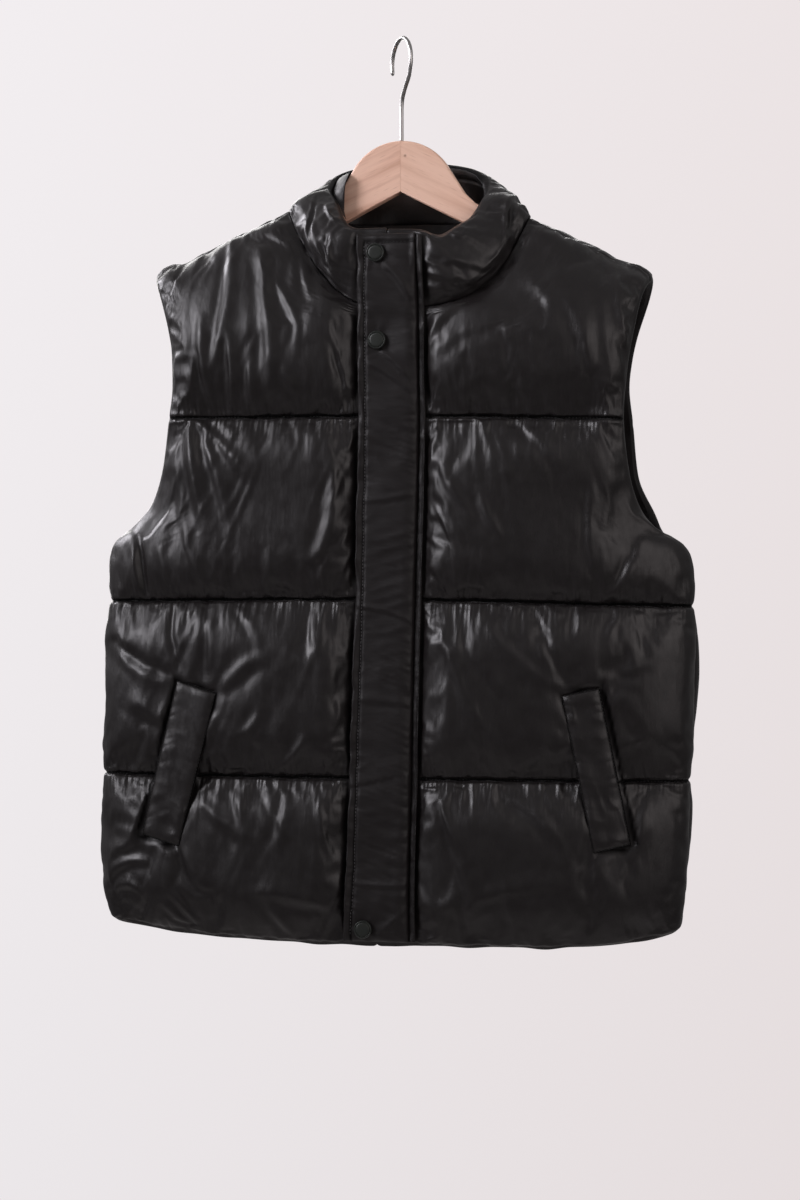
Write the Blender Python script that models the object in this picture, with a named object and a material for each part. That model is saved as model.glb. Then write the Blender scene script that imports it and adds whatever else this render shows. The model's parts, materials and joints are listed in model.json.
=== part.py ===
"""Puffer vest hanging on a flat wooden hanger with a wire hook.

Metres, +Z up.  The front faces -Y and +X is the left half of the garment as it is worn.
The origin is the inside top of the hook, where the hook rests on a rod.

Each cloth panel is a wall: a plain inner surface, ruled between a centre edge and a side edge
from the rows of a table, and an outer surface that stands off it by the padding, which is
thin at every seam and full between them.
"""
import math

import bmesh
import bpy
import numpy as np
from mathutils import Vector
from mathutils.bvhtree import BVHTree

# ---------------------------------------------------------------- driving sizes
SEAM_GAP = 0.0003             # between two pieces that are sewn together
SEAT_GAP = 0.0003             # between a piece and what it lies on

WALL_AT_SEAM = 0.007          # wall where the quilting or a seam pinches it
WALL_AT_FRONT_EDGE = 0.006    # wall of the fronts and collar under the placket
PUFF_REACH = 0.048            # distance from a seam at which the padding is full
FRONT_EDGE_PUFF_REACH = 0.029 # the same beside the flat strip under the placket
SHOULDER_WALL = {"right": 0.011, "left": 0.0075}     # wall at the shoulder seam
SHOULDER_PUFF = {"right": 0.017, "left": 0.0105}     # wall on top of the shoulder
SHOULDER_REACH = 0.070        # the shoulder's flattened padding ends this far below its seam

PLACKET_ZONE = {"right": 0.0310, "left": 0.0375}     # flat strip along each front edge
SIDE_SIGN = {"right": -1.0, "left": 1.0}             # the wearer's right is at -X

# a wall stands square to its surface this far from a sewn edge, and as its neighbour at the edge
SIDE_LEAN = 0.016
CENTRE_LEAN = 0.030
NECK_LEAN = 0.020

# centre-line and side rows of the body, from the hem up.  mid_* is the centre edge, *_r and *_l
# are the side edges of the wearer's right and left, gap is the half-gap between front and back
# at the side edge, puff the full wall, round the roundness of the section at the side.
ROW_COLUMNS = "name mid_z mid_x mid_y z_r x_r z_l x_l gap puff round".split()
BODY_ROWS = [
    ("hem",       -0.861, -0.0152, 0.040, -0.846, -0.279,  -0.845, 0.2590, 0.000, 0.016, 2.0),
    ("low",       -0.800, -0.0133, 0.042, -0.792, -0.284,  -0.788, 0.2630, 0.000, 0.020, 2.0),
    ("seam 3",    -0.705, -0.0103, 0.043, -0.705, -0.286,  -0.706, 0.2675, 0.000, 0.020, 2.0),
    ("waist",     -0.620, -0.0078, 0.044, -0.620, -0.281,  -0.622, 0.2700, 0.000, 0.021, 2.0),
    ("seam 2",    -0.536, -0.0053, 0.045, -0.538, -0.280,  -0.543, 0.2710, 0.000, 0.021, 2.0),
    ("armpit",    -0.487, -0.0040, 0.046, -0.490, -0.276,  -0.497, 0.2660, 0.000, 0.020, 2.0),
    ("under",     -0.463, -0.0033, 0.047, -0.474, -0.257,  -0.480, 0.2450, 0.010, 0.020, 1.8),
    ("scoop",     -0.438, -0.0027, 0.047, -0.450, -0.236,  -0.455, 0.2270, 0.022, 0.020, 1.6),
    ("chest",     -0.403, -0.0020, 0.048, -0.412, -0.2215, -0.418, 0.2190, 0.034, 0.020, 1.4),
    ("seam 1",    -0.364, -0.0013, 0.049, -0.363, -0.2140, -0.369, 0.2155, 0.040, 0.020, 1.3),
    ("bust",      -0.315, -0.0013, 0.051, -0.332, -0.2105, -0.334, 0.2180, 0.041, 0.020, 1.2),
]
HEM_SWEEP = {"right": 2.6, "left": 7.0}      # the hem stays level and turns up near the sides
QUILT_ROWS = ("seam 3", "seam 2", "seam 1")

# rows above the body: neck is the angle round the neck from the centre, and the rest as above
NECK_ROW_COLUMNS = "name neck z_r x_r z_l x_l gap puff round".split()
FRONT_NECK_ROWS = [
    ("neck",       0, -0.301, -0.2115, -0.305, 0.2215, 0.040, 0.020, 1.1),
    ("neck 35",   35, -0.278, -0.2160, -0.283, 0.2255, 0.037, 0.019, 1.0),
    ("neck 55",   55, -0.258, -0.2220, -0.264, 0.2290, 0.032, 0.018, 1.0),
    ("neck 75",   75, -0.242, -0.2290, -0.250, 0.2320, 0.023, 0.016, 1.0),
    ("shoulder",  90, -0.2325, -0.2365, -0.2405, 0.2360, 0.012, 0.014, 1.0),
]
BACK_NECK_ROWS = [
    ("nape",       0, -0.276, -0.2160, -0.281, 0.2210, 0.037, 0.020, 1.1),
    ("neck 30",   30, -0.257, -0.2220, -0.264, 0.2270, 0.032, 0.019, 1.0),
    ("neck 50",   50, -0.2425, -0.2290, -0.2505, 0.2320, 0.023, 0.017, 1.0),
    ("neck 65",   65, -0.2340, -0.2335, -0.2420, 0.2350, 0.012, 0.016, 1.0),
    ("ridge",     78, -0.2310, -0.2360, -0.2390, 0.2360, 0.000, 0.015, 1.0),
    ("shoulder",  90, -0.2325, -0.2365, -0.2405, 0.2360, -0.012, 0.014, 1.0),
]
UPPER_BACK_ROWS = [
    ("blades",    -0.300, -0.0013, 0.050, -0.332, -0.2105, -0.334, 0.2120, 0.041, 0.020, 1.2),
    ("yoke",      -0.235, -0.0013, 0.051, -0.303, -0.2115, -0.307, 0.2150, 0.040, 0.020, 1.1),
]
BACK_FLARE = 0.008            # the back's armhole edge is this much further out, low down

# neck ring
NECK_FRONT_Z = -0.264
NECK_BACK_Z = -0.170
NECK_FRONT_Y = -0.053
NECK_BACK_Y = 0.050
NECK_CENTRE_X = -0.0013
SHOULDER_SEAM_Y = -0.012
NECK_SHOULDER_X = {"right": -0.1035, "left": 0.1240}
NECK_SHOULDER_Z = {"right": -0.1725, "left": -0.1825}
NECK_CURVE = {"right": 2.3, "left": 4.4}              # how square the front neck curve is

# the collar's top edge: angle round the neck from the front, then the inner face's place
COLLAR_COLUMNS = "angle x_r x_l y z_r z_l puff_r puff_l".split()
COLLAR_TOP = [
    (0,   -0.0013, -0.0013, -0.058, -0.1905, -0.1915, 0.009, 0.009),
    (22,  -0.0270,  0.0300, -0.056, -0.1905, -0.1930, 0.013, 0.015),
    (36,  -0.0380,  0.0450, -0.050, -0.1870, -0.1980, 0.017, 0.019),
    (50,  -0.0460,  0.0600, -0.042, -0.1790, -0.1900, 0.016, 0.019),
    (68,  -0.0560,  0.0740, -0.024, -0.1640, -0.1780, 0.013, 0.015),
    (90,  -0.0675,  0.0800, -0.003, -0.1480, -0.1580, 0.011, 0.012),
    (112, -0.0680,  0.0760,  0.018, -0.1310, -0.1380, 0.011, 0.012),
    (135, -0.0570,  0.0620,  0.035, -0.1190, -0.1220, 0.014, 0.014),
    (158, -0.0300,  0.0330,  0.045, -0.1135, -0.1140, 0.018, 0.018),
    (180, -0.0013, -0.0013,  0.047, -0.1120, -0.1120, 0.018, 0.018),
]
COLLAR_BULGE = 0.004          # the collar's wall bows outward between its edges
COLLAR_RIM_WALL = 0.008
COLLAR_LIFT = 0.0004          # from the panels' neck edge to the collar's foot
COLLAR_FRONT_REACH = 0.022    # the padding is full this far beside the placket
COLLAR_FOOT_REACH = 0.024     # and this far above the neck seam
COLLAR_TOP_REACH = 0.020      # and this far below the rim
COLLAR_RIM_FULLNESS = 0.35    # share of the padding that is left at the rim
COLLAR_LEAN = 0.018

# storm placket: a row for each height, edge = its half-width
PLACKET_COLUMNS = "z half_width puff".split()
PLACKET_ROWS = [
    (-0.8585, 0.0310, 0.0070),
    (-0.8480, 0.0308, 0.0080),
    (-0.8000, 0.0296, 0.0085),
    (-0.7050, 0.0291, 0.0085),
    (-0.6200, 0.0284, 0.0085),
    (-0.5360, 0.0280, 0.0085),
    (-0.4000, 0.0286, 0.0085),
    (-0.2700, 0.0282, 0.0080),
    (-0.2200, 0.0278, 0.0075),
    (-0.1955, 0.0276, 0.0065),
]
PLACKET_EDGE_WALL = 0.0035
PLACKET_PUFF_REACH = 0.012
PLACKET_SHARES = (-1.0, -0.96, -0.78, -0.4, 0.0, 0.4, 0.78, 0.96, 1.0)
EDGING_WIDTH = 0.0062
EDGING_WALLS = (0.00225, 0.0030, 0.00165)     # from the placket outwards
EDGING_TOP_Z = -0.205
SEAT_HEIGHTS = (-0.852, -0.200)   # the strips are seated on the fronts between these heights
SEAT_SPREAD = (0.004, 0.007)      # a seat clears the highest point within this, in x and z
WELT_SEAT_SPREAD = (0.004, 0.005)
SNAP_SEAT_SPREAD = (0.001, 0.001)
BEHIND_FRONTS_Y = -0.010          # nothing further back than this is a seat

SNAP_DIAMETER = 0.0172
SNAP_HEIGHT = 0.0034
SNAP_COLUMNS = "name x z".split()
SNAP_PROFILE = [(0.86, 0.0), (1.0, 0.18), (1.0, 0.55), (0.93, 0.85), (0.80, 1.0), (0.66, 0.92)]
SNAP_SIDES = 24
SNAPS = [
    ("snap_collar", -0.0107, -0.2130),
    ("snap_chest",  -0.0107, -0.2940),
    ("snap_hem",    -0.0262, -0.8468),
]

# hand-pocket welts: the four corners, from the top inner one round
WELT_COLUMNS = "name top_in top_out low_out low_in".split()
WELTS = [
    ("pocket_welt_right",
     (-0.1680, -0.6253), (-0.2085, -0.6135), (-0.2455, -0.7622), (-0.2066, -0.7728)),
    ("pocket_welt_left",
     (0.1618, -0.6254), (0.1965, -0.6181), (0.2250, -0.7640), (0.1909, -0.7718)),
]
WELT_WALL = 0.007
WELT_EDGE_WALL = 0.0035
WELT_PUFF_REACH = 0.010
WELT_BED = 0.016              # wall of the front under a welt, where it lies flat
WELT_BED_HALF_WIDTH = 0.020
WELT_BED_FADE = 0.016
WELT_SHARES = (0.0, 0.06, 0.3, 0.5, 0.7, 0.94, 1.0)

# the largest folds: soft ridges and troughs (metres), from one point to another on a panel
FOLD_COLUMNS = "panel x0 z0 x1 z1 width lift".split()
FOLDS = [
    ("front_right", -0.262, -0.485, -0.262, -0.545, 0.010, -0.005),
    ("front_right", -0.120, -0.215, -0.075, -0.330, 0.014, 0.004),
    ("front_right", -0.150, -0.225, -0.110, -0.345, 0.012, -0.004),
    ("front_right", -0.190, -0.240, -0.160, -0.350, 0.014, 0.004),
    ("front_right", -0.205, -0.385, -0.120, -0.510, 0.013, 0.004),
    ("front_right", -0.170, -0.385, -0.070, -0.490, 0.012, -0.004),
    ("front_right", -0.165, -0.620, -0.060, -0.560, 0.014, 0.004),
    ("front_right", -0.190, -0.790, -0.080, -0.840, 0.014, 0.004),
    ("front_left", 0.105, -0.240, 0.160, -0.345, 0.014, 0.004),
    ("front_left", 0.060, -0.285, 0.130, -0.350, 0.013, -0.004),
    ("front_left", 0.205, -0.400, 0.110, -0.500, 0.014, 0.004),
    ("front_left", 0.165, -0.615, 0.070, -0.555, 0.013, 0.004),
    ("front_left", 0.185, -0.790, 0.080, -0.830, 0.014, 0.004),
    ("front_left", 0.240, -0.510, 0.225, -0.600, 0.012, -0.004),
    ("back", -0.190, -0.400, -0.080, -0.500, 0.015, 0.004),
    ("back", 0.195, -0.400, 0.090, -0.505, 0.015, 0.004),
    ("back", -0.120, -0.210, -0.050, -0.330, 0.015, -0.004),
    ("back", 0.130, -0.215, 0.060, -0.335, 0.015, -0.004),
    ("back", -0.200, -0.600, -0.100, -0.670, 0.015, 0.004),
    ("back", 0.180, -0.600, 0.070, -0.675, 0.015, 0.004),
    ("back", -0.180, -0.760, -0.060, -0.820, 0.015, 0.004),
    ("back", 0.190, -0.740, 0.080, -0.815, 0.015, -0.004),
]

# flat wooden hanger
WOOD_THICKNESS = 0.012
CROWN_TOP_Z = -0.0971
CROWN_RADIUS = 0.054
CROWN_SWEEP = 62.0            # degrees of arc each side of the top
ARM_SHOULDER = (0.0625, -0.1490)     # x and z where the crown runs into the arm
NECK_OF_ARM_X = 0.0725               # from here the arm's top edge is straight
NECK_OF_ARM_Z = {"right": -0.1608, "left": -0.1587}
ARM_SLOPE = {"right": 23.7, "left": 26.5}            # degrees; the hanger hangs a little askew
ARM_STRAIGHT_X = 0.0850
ARM_BELLY = (0.0800, -0.1875)        # lowest point of the curve under the crown
ARM_END_X = 0.2150
ARM_HEIGHT = 0.0200
ARM_END_RADIUS = 0.0095
APEX_Z = -0.1457              # the mitre's lower end
WOOD_BEVEL = 0.0022

# wire hook, in its own upright plane, which is turned on the stem
WIRE_DIAMETER = 0.0040
HOOK_TURN = 34.0              # degrees from -Y towards +X
HOOK_RADIUS = 0.0230          # of the wire's centre line
HOOK_END_ANGLE = 202.0        # degrees from the front, over the top, to the tip
HOOK_START_ANGLE = -28.0      # where the arc runs into the curve to the stem
STEM_CURVE = [(0.0185, -0.0365), (0.0075, -0.0485), (0.0012, -0.0590), (0.0, -0.0680),
              (0.0, -0.0780)]
STEM_FOOT_Z = CROWN_TOP_Z + SEAT_GAP

# grid lines: shares of the width and of each quilt row, closer together near the seams
PANEL_COLUMNS = (0.0, 0.11, 0.15, 0.20, 0.28, 0.38, 0.49, 0.60, 0.71, 0.81, 0.89, 0.945, 0.98, 1.0)
ROW_SHARES = (0.0, 0.045, 0.14, 0.28, 0.43, 0.57, 0.72, 0.86, 0.955)
TOP_ROW_SHARES = (0.0, 0.07, 0.22, 0.45, 0.72)       # from the top quilt seam to the neck seam
NECK_ANGLES = {"front": (0, 7, 15, 24, 34, 44, 54, 64, 74, 83, 90),
               "back": (0, 13, 26, 38, 49, 58, 66, 73, 79, 85, 90)}
NECK_SPAN = 4.0               # the neck rows take up this many places of the panel's rows


# ---------------------------------------------------------------- small tools
def rows(columns, table):
    """Give each row of a table its column names."""
    return [dict(zip(columns, row)) for row in table]


def smooth_column(at, knots, values):
    """Cubic through the knots with slopes limited so that it never overshoots (Fritsch-Carlson)."""
    knots = np.asarray(knots, float)
    values = np.asarray(values, float)
    step = np.diff(knots)
    slope = np.diff(values) / step
    tangent = np.zeros(len(knots))
    tangent[0] = slope[0]
    tangent[-1] = slope[-1]
    same_way = slope[:-1] * slope[1:] > 0
    harmonic = 2 * slope[:-1] * slope[1:] / np.where(same_way, slope[:-1] + slope[1:], 1.0)
    tangent[1:-1] = np.where(same_way, harmonic, 0.0)
    at = np.asarray(at, float)
    i = np.clip(np.searchsorted(knots, at, side="right") - 1, 0, len(step) - 1)
    t = (at - knots[i]) / step[i]
    return (values[i] * (1 + 2 * t) * (1 - t) ** 2 + values[i + 1] * t * t * (3 - 2 * t)
            + step[i] * (tangent[i] * t * (1 - t) ** 2 - tangent[i + 1] * t * t * (1 - t)))


def smooth_points(at, knots, points):
    """The same cubic through points with more than one coordinate."""
    points = np.asarray(points, float)
    return np.stack([smooth_column(at, knots, points[:, k]) for k in range(points.shape[1])], axis=-1)


def smoothstep(value):
    """0 below 0, 1 above 1, and an S between them."""
    t = np.clip(value, 0.0, 1.0)
    return t * t * (3 - 2 * t)


def swell(distance, reach):
    """Quarter-round: 0 at a seam, 1 from `reach` on, upright at the seam."""
    t = np.clip(distance / reach, 0.0, 1.0)
    return np.sqrt(1.0 - (1.0 - t) ** 2)


def unit(vectors):
    return vectors / np.maximum(np.linalg.norm(vectors, axis=-1, keepdims=True), 1e-12)


def material(name, colour, roughness, metallic=0.0):
    """The named material, made the first time that it is asked for."""
    found = bpy.data.materials.get(name)
    if found:
        return found
    made = bpy.data.materials.new(name)
    made.use_nodes = True
    shader = made.node_tree.nodes["Principled BSDF"]
    shader.inputs["Base Color"].default_value = (*colour, 1.0)
    shader.inputs["Roughness"].default_value = roughness
    shader.inputs["Metallic"].default_value = metallic
    made.diffuse_color = (*colour, 1.0)
    return made


def nylon():
    return material("black_nylon", (0.016, 0.014, 0.016), 0.42)


def add_object(name, mesh, finish):
    piece = bpy.data.objects.new(name, mesh)
    mesh.materials.append(finish)
    bpy.context.scene.collection.objects.link(piece)
    return piece


def wall(name, inner, outer, finish):
    """Closed wall between two grids of the same shape, with a rim along all four edges."""
    high, wide = inner.shape[:2]
    points = np.concatenate([inner.reshape(-1, 3), outer.reshape(-1, 3)])
    grid = np.arange(high * wide).reshape(high, wide)
    far = grid + high * wide
    a, b, c, d = grid[:-1, :-1], grid[:-1, 1:], grid[1:, 1:], grid[1:, :-1]
    faces = [np.stack([d, c, b, a], -1).reshape(-1, 4)]
    a, b, c, d = far[:-1, :-1], far[:-1, 1:], far[1:, 1:], far[1:, :-1]
    faces.append(np.stack([a, b, c, d], -1).reshape(-1, 4))
    loop = np.concatenate([grid[0, :-1], grid[:-1, -1], grid[-1, :0:-1], grid[:0:-1, 0]])
    after = np.roll(loop, -1)
    faces.append(np.stack([loop, after, after + high * wide, loop + high * wide], -1))
    mesh = bpy.data.meshes.new(name)
    mesh.from_pydata(points.tolist(), [], np.concatenate(faces).tolist())
    shape = bmesh.new()
    shape.from_mesh(mesh)
    bmesh.ops.triangulate(shape, faces=shape.faces[:], quad_method="FIXED")
    if shape.calc_volume(signed=True) < 0:
        bmesh.ops.reverse_faces(shape, faces=shape.faces[:])
    shape.to_mesh(mesh)
    shape.free()
    mesh.shade_smooth()
    return add_object(name, mesh, finish)


# ---------------------------------------------------------------- the neck
def neck_ring(side, angle):
    """Inner end of the neck seam at `angle` degrees from the centre front (180 is the nape)."""
    turn = np.radians(np.asarray(angle, float))
    across = np.sin(turn)
    x = NECK_CENTRE_X + (NECK_SHOULDER_X[side] - NECK_CENTRE_X) * across
    front = turn <= math.pi / 2
    y = np.where(front,
                 SHOULDER_SEAM_Y + (NECK_FRONT_Y - SHOULDER_SEAM_Y) * np.cos(turn),
                 SHOULDER_SEAM_Y - (NECK_BACK_Y - SHOULDER_SEAM_Y) * np.cos(turn))
    shoulder = NECK_SHOULDER_Z[side]
    z = np.where(front,
                 shoulder + (NECK_FRONT_Z - shoulder) * (1 - across ** NECK_CURVE[side]),
                 shoulder + (NECK_BACK_Z - shoulder) * (1 - across ** 2))
    return np.stack([x, y, z], -1)


def neck_direction(side, angle):
    """Way that the wall stands at the neck seam: forward or back at the centre, up at the side."""
    turn = np.radians(np.asarray(angle, float))
    across = np.sin(turn)
    return unit(np.stack([SIDE_SIGN[side] * 0.35 * across,
                          -np.cos(turn) * (1 - 0.5 * across ** 2),
                          across ** 2], -1))


# ---------------------------------------------------------------- panels
def panel_knots(side, face):
    """Table rows of one half of a front or back, and their places from the hem to the shoulder."""
    tail = "_r" if side == "right" else "_l"
    depth_sign = -1.0 if face == "front" else 1.0
    body = rows(ROW_COLUMNS, BODY_ROWS)
    if face == "back":
        body = body[:-1] + rows(ROW_COLUMNS, UPPER_BACK_ROWS)
    neck = rows(NECK_ROW_COLUMNS, FRONT_NECK_ROWS if face == "front" else BACK_NECK_ROWS)
    every = body + neck
    start = float(len(body))
    edge = np.array([(row["x" + tail], depth_sign * row["gap"], row["z" + tail]) for row in every])
    if face == "back":
        edge[:, 0] += SIDE_SIGN[side] * BACK_FLARE * flare_at(edge[:, 2])
    corner = neck_ring(side, 0 if face == "front" else 180)
    centre = [(row["mid_x"], depth_sign * row["mid_y"], row["mid_z"]) for row in body]
    return {
        "face": face,
        "places": np.array([float(k) for k in range(len(body))]
                           + [start + NECK_SPAN * row["neck"] / 90 for row in neck]),
        "neck_start": start,
        "seams": [0.0] + [float(k) for k, row in enumerate(body) if row["name"] in QUILT_ROWS],
        "armpit": float([row["name"] for row in body].index("armpit")),
        "centre": np.array(centre + [tuple(corner)]),
        "edge": edge,
        "puff": np.array([row["puff"] for row in every]),
        "round": np.array([row["round"] for row in every]),
    }


def flare_at(z):
    """Share of the back's flare at a height: full low in the armhole, none at the armpit."""
    return np.exp(-((z + 0.450) / 0.022) ** 2)


def row_places(knots):
    """Places of the grid's rows, closer together next to the quilt seams."""
    places = []
    for low, high in zip(knots["seams"][:-1], knots["seams"][1:]):
        places.extend(low + (high - low) * share for share in ROW_SHARES)
    low, high = knots["seams"][-1], knots["neck_start"]
    places.extend(low + (high - low) * share for share in TOP_ROW_SHARES)
    places.extend(high + NECK_SPAN * angle / 90 for angle in NECK_ANGLES[knots["face"]])
    return np.array(places)


def centre_edge(side, places, knots):
    """The panel's edge: up the centre line, then round the neck to the shoulder seam."""
    start = knots["neck_start"]
    count = len(knots["centre"])
    line = smooth_points(np.minimum(places, start), np.arange(count, dtype=float), knots["centre"])
    angle = np.maximum(places - start, 0.0) / NECK_SPAN * 90
    ring = neck_ring(side, angle if knots["face"] == "front" else 180 - angle)
    return np.where((places > start)[:, None], ring, line)


def base_surface(side, columns, places, knots):
    """Ruled in front view; its depth falls from the centre edge to the side edge as a round."""
    inner_edge = centre_edge(side, places, knots)[:, None, :]
    outer_edge = smooth_points(places, knots["places"], knots["edge"])[:, None, :]
    power = smooth_column(places, knots["places"], knots["round"])[:, None]
    share = np.asarray(columns, float)[None, :]
    fall = (1 - share ** 2.4) ** (1 / power)
    surface = inner_edge + (outer_edge - inner_edge) * share[..., None]
    sweep = 1 + (HEM_SWEEP[side] - 1) * (1 - smoothstep(places))[:, None]
    surface[..., 2] = inner_edge[..., 2] + (outer_edge - inner_edge)[..., 2] * share ** sweep
    surface[..., 1] = outer_edge[..., 1] + (inner_edge[..., 1] - outer_edge[..., 1]) * fall
    return surface, smooth_column(places, knots["places"], knots["puff"])[:, None]


def surface_normals(surface, outward_y):
    """Unit normals of a grid, on the side where y has the sign of `outward_y`."""
    down = np.gradient(surface, axis=0)
    across = np.gradient(surface, axis=1)
    normal = unit(np.cross(across, down))
    middle = normal[normal.shape[0] // 3, normal.shape[1] // 2, 1]
    return normal * (1.0 if middle * outward_y > 0 else -1.0)


def along(surface, axis):
    """Length along each grid line from its start."""
    steps = np.linalg.norm(np.diff(surface, axis=axis), axis=-1)
    start = np.zeros_like(np.take(steps, [0], axis=axis))
    return np.cumsum(np.concatenate([start, steps], axis=axis), axis=axis)


def segment_distance(x, z, x0, z0, x1, z1):
    """Distance from a line from one point to another, and the share of the way along it."""
    dx, dz = x1 - x0, z1 - z0
    share = np.clip(((x - x0) * dx + (z - z0) * dz) / (dx * dx + dz * dz), 0.0, 1.0)
    return np.hypot(x - x0 - share * dx, z - z0 - share * dz), share


def fold_lift(panel, surface):
    """How far the panel's folds raise or lower its outer face, as bell-shaped ridges."""
    lift = np.zeros(surface.shape[:2])
    for fold in rows(FOLD_COLUMNS, FOLDS):
        if fold["panel"] != panel:
            continue
        distance, _ = segment_distance(surface[..., 0], surface[..., 2],
                                       fold["x0"], fold["z0"], fold["x1"], fold["z1"])
        lift += fold["lift"] * np.exp(-(distance / fold["width"]) ** 2)
    return lift


def welt_bed(panel, surface):
    """1 where a pocket welt lies on the panel, falling to 0 round it."""
    bed = np.zeros(surface.shape[:2])
    for welt in rows(WELT_COLUMNS, WELTS):
        if panel != welt["name"].replace("pocket_welt", "front"):
            continue
        top = np.add(welt["top_in"], welt["top_out"]) / 2
        low = np.add(welt["low_in"], welt["low_out"]) / 2
        distance, _ = segment_distance(surface[..., 0], surface[..., 2], *top, *low)
        outside = (distance - WELT_BED_HALF_WIDTH) / WELT_BED_FADE
        bed = np.maximum(bed, 1 - smoothstep(outside))
    return bed


def panel(side, face):
    """Inner and outer grids of one half of a front or back."""
    name = "back" if face == "back" else f"front_{side}"
    knots = panel_knots(side, face)
    places = row_places(knots)
    inner, puff = base_surface(side, PANEL_COLUMNS, places, knots)
    neck_start = knots["neck_start"] + 1e-6
    outward_y = -1.0 if face == "front" else 1.0
    normal = surface_normals(inner, outward_y)

    # how far each point is from the seams and edges that pinch it
    length = along(inner, 0)
    seam_rows = [int(np.argmin(abs(places - seam))) for seam in knots["seams"]] + [-1]
    from_row = np.min([abs(length - length[row]) for row in seam_rows], axis=0)
    width = along(inner, 1)
    from_side = width[:, -1:] - width
    ring_angles = np.linspace(0, 180, 181)
    ring = neck_ring(side, ring_angles)
    from_neck = np.linalg.norm(inner[:, :, None, :] - ring[None, None], axis=-1).min(axis=2)
    fullness = (swell(from_row, PUFF_REACH) * swell(from_side, PUFF_REACH)
                * swell(from_neck, PUFF_REACH))
    if face == "front":
        from_front_edge = abs(inner[..., 0] - inner[:, :1, 0]) - PLACKET_ZONE[side]
        near_neck = places[:, None] > neck_start
        from_centre = abs(inner[..., 0] - NECK_CENTRE_X) - PLACKET_ZONE[side]
        from_front_edge = np.where(near_neck, from_centre, from_front_edge)
        fullness = fullness * swell(np.maximum(from_front_edge, 0.0), FRONT_EDGE_PUFF_REACH)

    # padding is pressed thinner on top of the shoulder
    to_shoulder = length[-1:] - length
    on_shoulder = 1 - smoothstep(to_shoulder / SHOULDER_REACH)
    floor = WALL_AT_SEAM + (SHOULDER_WALL[side] - WALL_AT_SEAM) * on_shoulder
    full = puff + (SHOULDER_PUFF[side] - puff) * on_shoulder
    if face == "front":
        placket_zone = 1 - smoothstep(from_front_edge / 0.010)
        floor = floor + (WALL_AT_FRONT_EDGE - floor) * placket_zone
    thickness = floor + (full - floor) * fullness
    thickness = thickness + fold_lift(name, inner) * np.clip(fullness * 1.5 - 0.3, 0, 1)
    bed = welt_bed(name, inner)
    thickness = thickness + (WELT_BED - thickness) * bed

    # at a sewn edge both pieces' walls stand the same way
    def lean(way, distance, reach):
        """The wall's direction: `way` at the edge, square to the surface from `reach` on."""
        share = smoothstep(distance / reach)[..., None]
        return unit(way * (1 - share) + normal * share)

    side_rows = places[:, None] <= knots["armpit"] + 0.6
    sideways = np.broadcast_to(np.array([SIDE_SIGN[side], 0.0, 0.0]), normal.shape)
    normal = np.where(side_rows[..., None], lean(sideways, from_side, SIDE_LEAN), normal)
    straight_out = np.broadcast_to(np.array([0.0, outward_y, 0.0]), normal.shape)
    on_centre = (places[:, None] <= neck_start)[..., None]
    normal = np.where(on_centre, lean(straight_out, width, CENTRE_LEAN), normal)
    shoulder_way = np.broadcast_to(neck_direction(side, 90), normal.shape)
    normal = lean(shoulder_way, to_shoulder, NECK_LEAN)
    nearest = np.linalg.norm(inner[:, :, None, :] - ring[None, None], axis=-1).argmin(axis=2)
    normal = lean(neck_direction(side, ring_angles)[nearest], from_neck, NECK_LEAN)
    return inner, inner + normal * thickness[..., None], places, knots


def make_front(side):
    """One front: the panel's wall, drawn back from its seams by the seam gap."""
    inner, outer, places, knots = panel(side, "front")
    sewn = places <= knots["armpit"] + 1e-6
    for grid in (inner, outer):
        grid[:, 0, 0] += SIDE_SIGN[side] * SEAM_GAP
        grid[sewn, -1, 1] -= SEAM_GAP / 2
        grid[-1, :, 1] -= SEAM_GAP / 2
        grid[-1, :, 2] -= SEAM_GAP / 2
    return wall(f"front_{side}", inner, outer, nylon())


def make_back():
    """The back: both halves of the panel, drawn back from the seams and joined."""
    halves = {}
    for side in ("right", "left"):
        inner, outer, places, knots = panel(side, "back")
        sewn = places <= knots["armpit"] + 1e-6
        for grid in (inner, outer):
            grid[sewn, -1, 1] += SEAM_GAP / 2
            grid[-1, :, 1] += SEAM_GAP / 2
            grid[-1, :, 2] += SEAM_GAP / 2
        halves[side] = (inner, outer, places)
    return weld_back(halves, knots["neck_start"])


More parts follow.
